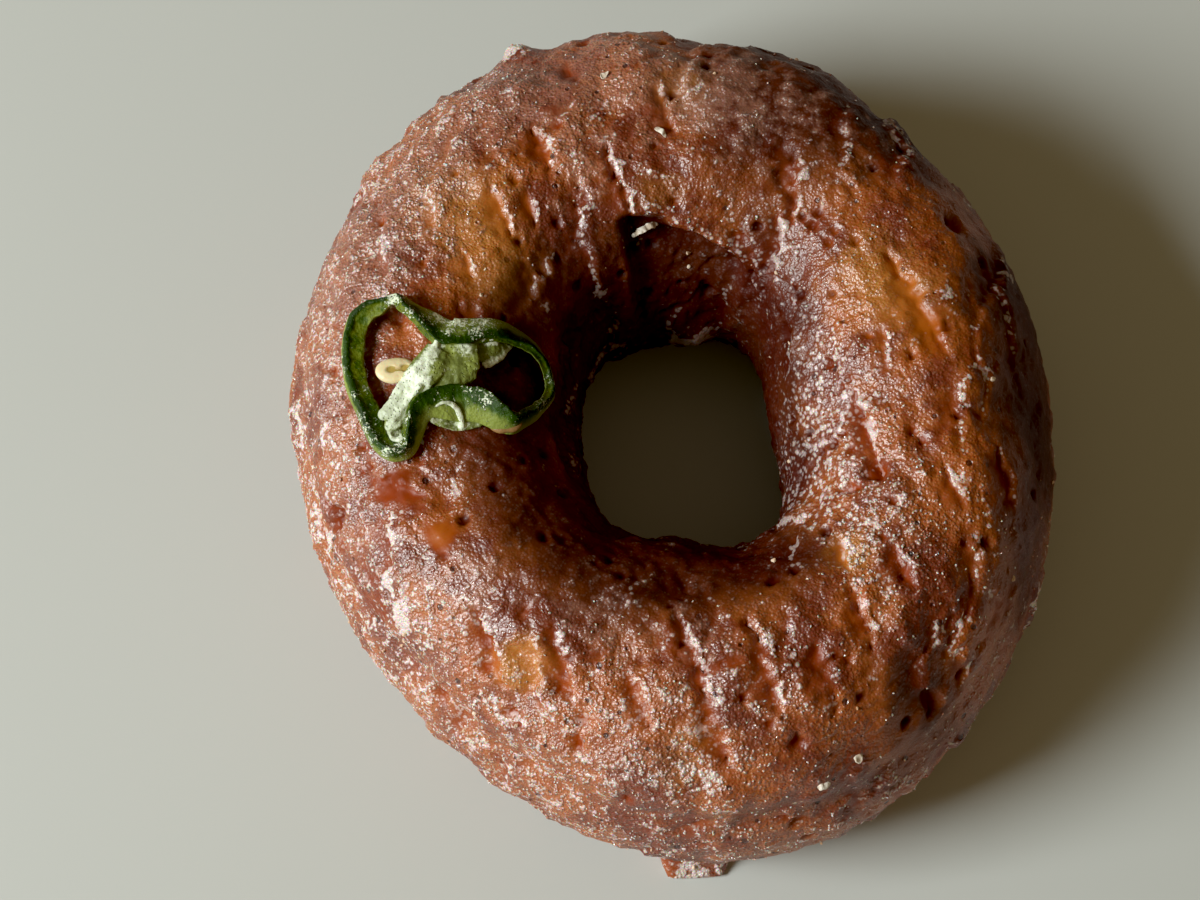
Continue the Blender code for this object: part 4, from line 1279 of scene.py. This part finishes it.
def wall_sections(tree):
    """Rings of points round the wall's section, one for each station along its rim."""
    path = curve_through(RIM, WALL_STATIONS, True)
    profile = curve_through(WALL_SECTION, WALL_ROUND, True)
    plan = path[:, :2] * MM
    along = smooth_round(np.roll(plan, -1, 0) - np.roll(plan, 1, 0), WALL_TURNING)
    along /= np.linalg.norm(along, axis=1, keepdims=True)
    inward = np.stack([-along[:, 1], along[:, 0]], 1)
    lean, thick, tall = (path[:, 2:] * (DEG, MM, MM)).T
    flat = np.stack([plan[:, 0], plan[:, 1], np.zeros(len(plan))], 1)
    rise = np.concatenate([np.sin(lean)[:, None] * inward, np.cos(lean)[:, None]], 1)
    face = np.concatenate([np.cos(lean)[:, None] * inward, -np.sin(lean)[:, None]], 1)
    foot = flat - tall[:, None] * rise
    across = profile[None, :, 0, None] * thick[:, None, None] * face[:, None, :]
    height = profile[None, :, 1, None] * tall[:, None, None] * rise[:, None, :]
    sections = foot[:, None, :] + across + height
    ruffle = sum(size * noise_field(sections, wave, 5.1) for wave, size in WALL_RUFFLES)
    for way in (face, rise):
        sections += (ruffle * profile[None, :, 1])[..., None] * way[:, None, :]
    lift = lift_to_clear(sections[:, ::LIFT_STRIDE], tree)
    highest = np.max([np.roll(lift, k) for k in range(-LIFT_REACH, LIFT_REACH + 1)], axis=0)
    sections[..., 2] += smooth_round(highest, LIFT_REACH)[:, None]
    stretch = np.ones((WALL_STATIONS, 1))
    fields = {
        "skin": stretch * np.clip(profile[:, 2], 0, 1),
        "edge": stretch * np.clip(profile[:, 3], 0, 1),
        "rim": stretch * np.clip(profile[:, 4], 0, 1),
        "foot": stretch * np.clip(1 - profile[:, 1], 0, 1),
        "fleck": spots_from_above(sections, FLECK_SPOTS),
        "shade": np.clip(spots_from_above(sections, SHADE_SPOTS), 0, 1),
    }
    return sections, fields


def run_sections(run, tree):
    """Flattened rings of points along one run of the web."""
    path = curve_through(run, WEB_STATIONS, False) * MM
    along = np.gradient(path[:, :2], axis=0)
    along /= np.linalg.norm(along, axis=1, keepdims=True)
    turns = np.linspace(0, TURN, WEB_SIDES, endpoint=False)
    sections = []
    for (x, y, over, half_width, half_thickness), (dx, dy) in zip(path, along):
        across = half_width * np.cos(turns)
        height = crust_under(tree, x, y) + over + half_thickness * np.sin(turns)
        sections.append(np.stack([x + dy * across, y - dx * across, height], 1))
    sections = np.array(sections)
    sections[..., 2] += np.maximum(lift_to_clear(sections, tree), 0)[:, None]
    return sections


def as_mesh(piece):
    """Turns a piece and its live modifiers into a plain mesh."""
    graph = bpy.context.evaluated_depsgraph_get()
    mesh = bpy.data.meshes.new_from_object(piece.evaluated_get(graph))
    piece.modifiers.clear()
    piece.data = mesh
    return piece


def fused_runs(name, runs, tree, material):
    """Several flattened tubes grown into one spongy body."""
    points, faces, whites = [], [], []
    for white, rows in runs:
        sections = run_sections(rows, tree)
        start = sum(len(part) for part in points)
        faces += shifted(tube_faces(*sections.shape[:2]), start)
        points.append(sections.reshape(-1, 3))
        whites += [white] * len(points[-1])
    points = np.concatenate(points)
    piece = make_piece(name, points, faces, material)
    fuse = piece.modifiers.new("fuse", "REMESH")
    fuse.mode = "VOXEL"
    fuse.voxel_size = WEB_GRAIN
    ease = piece.modifiers.new("ease", "SMOOTH")
    ease.iterations = WEB_EASE
    as_mesh(piece)
    mesh = piece.data
    mesh.shade_smooth()
    near = point_tree(points)
    places = np.array([vertex.co for vertex in mesh.vertices])
    normals = np.array([vertex.normal for vertex in mesh.vertices])
    pale = []
    count, blur = WEB_BLEND
    for place in places:
        found = [(whites[index], (away + blur) ** -2) for _, index, away in near.find_n(place, count)]
        pale.append(sum(white * share for white, share in found) / sum(share for _, share in found))
    mark_points(mesh, {
        "pale": pale + spots_from_above(places, WHITE_SPOTS),
        "shade": np.clip(spots_from_above(places, SHADE_SPOTS), 0, 1),
    })
    relief = sum(size * noise_field(places, wave) for wave, size in WEB_RELIEF)
    places += relief[:, None] * normals
    mesh.vertices.foreach_set("co", places.ravel())
    mesh.update()
    return piece


def turned(along, across, up, spin):
    """Points from their places along, across and above, turned by spin degrees from above."""
    cos, sin = math.cos(spin * DEG), math.sin(spin * DEG)
    return np.stack([cos * along - sin * across, sin * along + cos * across, up], -1)


def seed_points(row, tree):
    """A flattened seed, wider at one end, with a raised rim and two dents."""
    *sizes, spin, brown = row
    x, y, over, length, width, thickness = [value * MM for value in sizes]
    reaches = [(x + i * SEED_REACH[0], y + j * SEED_REACH[1]) for i in (-1, 0, 1) for j in (-1, 0, 1)]
    ground = max(crust_under(tree, *place) for place in reaches)
    rings, segments = SEED_GRID
    around = np.linspace(0, TURN, segments, endpoint=False)
    down = np.linspace(0, math.pi, rings + 2)[1:-1]
    fall, turn = np.meshgrid(down, around, indexing="ij")
    notches = (depth * bump(angle_between(turn, at) / wide) for at, wide, depth in SEED_NOTCHES)
    lobes = 1 - 0.09 * np.cos(turn - 0.3) + 0.05 * np.cos(2 * turn + 0.6)
    out = np.sin(fall) ** 0.6 * (0.5 * (lobes - sum(notches)))
    along, across = out * np.cos(turn), out * np.sin(turn)
    middle, sunk = 0, 0
    for a, b, reach, depth in SEED_DENTS:
        dent = smooth_step(1.05 * reach, 0.5 * reach, np.hypot(along - a, across - b))
        middle = middle + dent
        sunk = sunk + depth * dent
    up = 0.5 * np.cos(fall) * (1 - sunk)
    points = turned(length * along, width * across, thickness * up, spin)
    return points + np.array([x, y, ground + over]), brown + middle


def flake_points(row, tree):
    """A thin leaf with blunt ends, bent along its length."""
    *sizes, turn, curl = row
    x, y, over, length, width = [value * MM for value in sizes]
    share = np.linspace(-FLAKE_END, FLAKE_END, FLAKE_STATIONS)[:, None]
    round_section = np.linspace(0, TURN, FLAKE_SIDES, endpoint=False)
    half = 0.5 * width * (1 - share**4) ** 0.5
    bend = share * curl * DEG
    radius = 0.5 * length / (curl * DEG)
    across = half * np.cos(round_section)
    thick = FLAKE_HALF * np.sin(round_section)
    along = (radius + thick) * np.sin(bend)
    height = (radius + thick) * np.cos(bend) - radius * math.cos(curl * DEG)
    points = turned(along, across, height, turn)
    points += np.array([x, y, crust_under(tree, x, y) + over])
    return noise_shift(points, *FLAKE_FRAY)


def strew_on_crust(nodes, density, size, seed):
    """Strews one kind of small solid over the finished crust."""
    piece = place_object(nodes.tree.name, bpy.data.objects["crust_ring"].data)
    nodes.strew(piece, density, size, seed)
    settle(piece, *CRUST)


def add_window(settings):
    """The window's light, and the room's dimmer light from all round."""
    light = bpy.data.lights.new("window", "AREA")
    light.energy = settings.key
    light.color = settings.daylight
    light.size = settings.key_size
    flat = math.cos(settings.key_height)
    east, north = math.cos(settings.key_bearing), math.sin(settings.key_bearing)
    way = Vector((flat * east, flat * north, math.sin(settings.key_height)))
    lamp = place_object("window", light)
    lamp.location = WINDOW_AWAY * way
    lamp.rotation_euler = way.to_track_quat("Z", "Y").to_euler()
    world = bpy.data.worlds.new("room")
    world.use_nodes = True
    world.node_tree.nodes["Background"].inputs["Color"].default_value = solid(settings.fill)
    bpy.context.scene.world = world
    world.cycles_visibility.glossy = False


def add_camera(settings):
    """The camera, and how its picture is shown."""
    scene = bpy.context.scene
    view = scene.view_settings
    view.view_transform = "Standard"
    view.use_curve_mapping = True
    view.curve_mapping.black_level = (settings.black, settings.black, settings.black)
    view.curve_mapping.update()
    camera = bpy.data.cameras.new("camera")
    camera.lens = settings.lens
    camera.sensor_width = SENSOR
    eye = place_object("camera", camera)
    back = Vector((0, -math.sin(settings.tilt), math.cos(settings.tilt)))
    eye.location = TARGET + settings.distance * back
    eye.rotation_euler = (settings.tilt, 0, 0)
    scene.camera = eye


class DOUGHNUT_OT_crust(bpy.types.Operator):
    """Make the fried ring with its crevices, pores and glaze"""

    bl_idname = "doughnut.crust"
    bl_label = "Crust"

    def execute(self, context):
        settings = context.scene.doughnut_crust
        points, fields = ring_points(settings)
        faces = ring_faces(*points.shape[:2])
        ring = make_piece("crust_ring", points, faces, crust_finish(settings), fields)
        settle(ring, *CRUST)
        return {"FINISHED"}


class DOUGHNUT_OT_chilli(bpy.types.Operator):
    """Make the chilli slice: its wall, web, flap and seeds"""

    bl_idname = "doughnut.chilli"
    bl_label = "Chilli slice"

    def execute(self, context):
        settings = context.scene.doughnut_chilli
        tree = crust_tree()
        sections, fields = wall_sections(tree)
        faces = ring_faces(*sections.shape[:2])
        wall = make_piece("chilli_wall", sections, faces, skin_finish(settings), fields)
        settle(wall, *CHILLI)
        web = web_finish(settings)
        settle(fused_runs("chilli_web", WEB_RUNS, tree, web), *CHILLI)
        settle(fused_runs("chilli_flap", FLAP_RUNS, tree, web), *CHILLI)
        cream = seed_finish(settings)
        for index, row in enumerate(SEEDS):
            points, middle = seed_points(row, tree)
            faces = tube_faces(*points.shape[:2])
            seed = make_piece(f"chilli_seed_{index}", points, faces, cream, {"middle": middle})
            settle(seed, *CHILLI)
        return {"FINISHED"}


class DOUGHNUT_OT_sugar(bpy.types.Operator):
    """Strew sugar grains over the glazed crust"""

    bl_idname = "doughnut.sugar"
    bl_label = "Sugar grains"

    def execute(self, context):
        settings = context.scene.doughnut_scatter
        finish = grain_finish(context.scene.doughnut_crust)
        nodes = Scatter("sugar_grains", "grains", 1, GRAIN_JAGGED, finish)
        strew_on_crust(nodes, settings.grains, settings.grain_size, settings.seed)
        return {"FINISHED"}


class DOUGHNUT_OT_crumbs(bpy.types.Operator):
    """Strew pale crumbs over the crust"""

    bl_idname = "doughnut.crumbs"
    bl_label = "Crumbs"

    def execute(self, context):
        settings = context.scene.doughnut_scatter
        nodes = Scatter("crumbs", "crumbs", 3, CRUMB_JAGGED, crumb_finish())
        strew_on_crust(nodes, settings.crumbs, settings.crumb_size, settings.seed + 2)
        return {"FINISHED"}


class DOUGHNUT_OT_flakes(bpy.types.Operator):
    """Lay the loose flakes of glaze on the crust"""

    bl_idname = "doughnut.flakes"
    bl_label = "Flakes"

    def execute(self, context):
        tree = crust_tree()
        flakes = np.concatenate([flake_points(row, tree) for row in FLAKES])
        faces = []
        for start in range(0, len(flakes), FLAKE_STATIONS):
            faces += shifted(tube_faces(FLAKE_STATIONS, FLAKE_SIDES), start * FLAKE_SIDES)
        piece = make_piece("loose_flakes", flakes, faces, flake_finish())
        settle(piece, *CRUST)
        return {"FINISHED"}


class DOUGHNUT_OT_stage(bpy.types.Operator):
    """Make the pale floor, the window light and the camera"""

    bl_idname = "doughnut.stage"
    bl_label = "Stage"

    def execute(self, context):
        settings = context.scene.doughnut_stage
        half = FLOOR_HALF
        corners = np.array([(-half, -half, 0), (half, -half, 0), (half, half, 0), (-half, half, 0)])
        floor = make_piece("floor", corners, [(0, 1, 2, 3)], floor_finish(settings))
        add_window(settings)
        add_camera(settings)
        return {"FINISHED"}


class DOUGHNUT_PT_panel(bpy.types.Panel):
    """Lists the pieces that can be made"""

    bl_idname = "DOUGHNUT_PT_panel"
    bl_label = "Doughnut"
    bl_space_type = "VIEW_3D"
    bl_region_type = "UI"
    bl_category = "Doughnut"

    def draw(self, context):
        for operator in OPERATORS:
            self.layout.operator(operator.bl_idname)


SETTINGS = {
    "doughnut_crust": CrustSettings,
    "doughnut_chilli": ChilliSettings,
    "doughnut_scatter": ScatterSettings,
    "doughnut_stage": StageSettings,
}
OPERATORS = (
    DOUGHNUT_OT_crust,
    DOUGHNUT_OT_sugar,
    DOUGHNUT_OT_crumbs,
    DOUGHNUT_OT_flakes,
    DOUGHNUT_OT_chilli,
    DOUGHNUT_OT_stage,
)


def register():
    for kind in (*SETTINGS.values(), *OPERATORS, DOUGHNUT_PT_panel):
        bpy.utils.register_class(kind)
    for name, kind in SETTINGS.items():
        setattr(bpy.types.Scene, name, bpy.props.PointerProperty(type=kind))


def unregister():
    for name in SETTINGS:
        delattr(bpy.types.Scene, name)
    for kind in (DOUGHNUT_PT_panel, *reversed(OPERATORS), *reversed(SETTINGS.values())):
        bpy.utils.unregister_class(kind)


def main():
    register()
    bpy.ops.doughnut.crust()
    bpy.ops.doughnut.sugar()
    bpy.ops.doughnut.crumbs()
    bpy.ops.doughnut.flakes()
    bpy.ops.doughnut.chilli()
    bpy.ops.doughnut.stage()


if __name__ == "__main__":
    main()
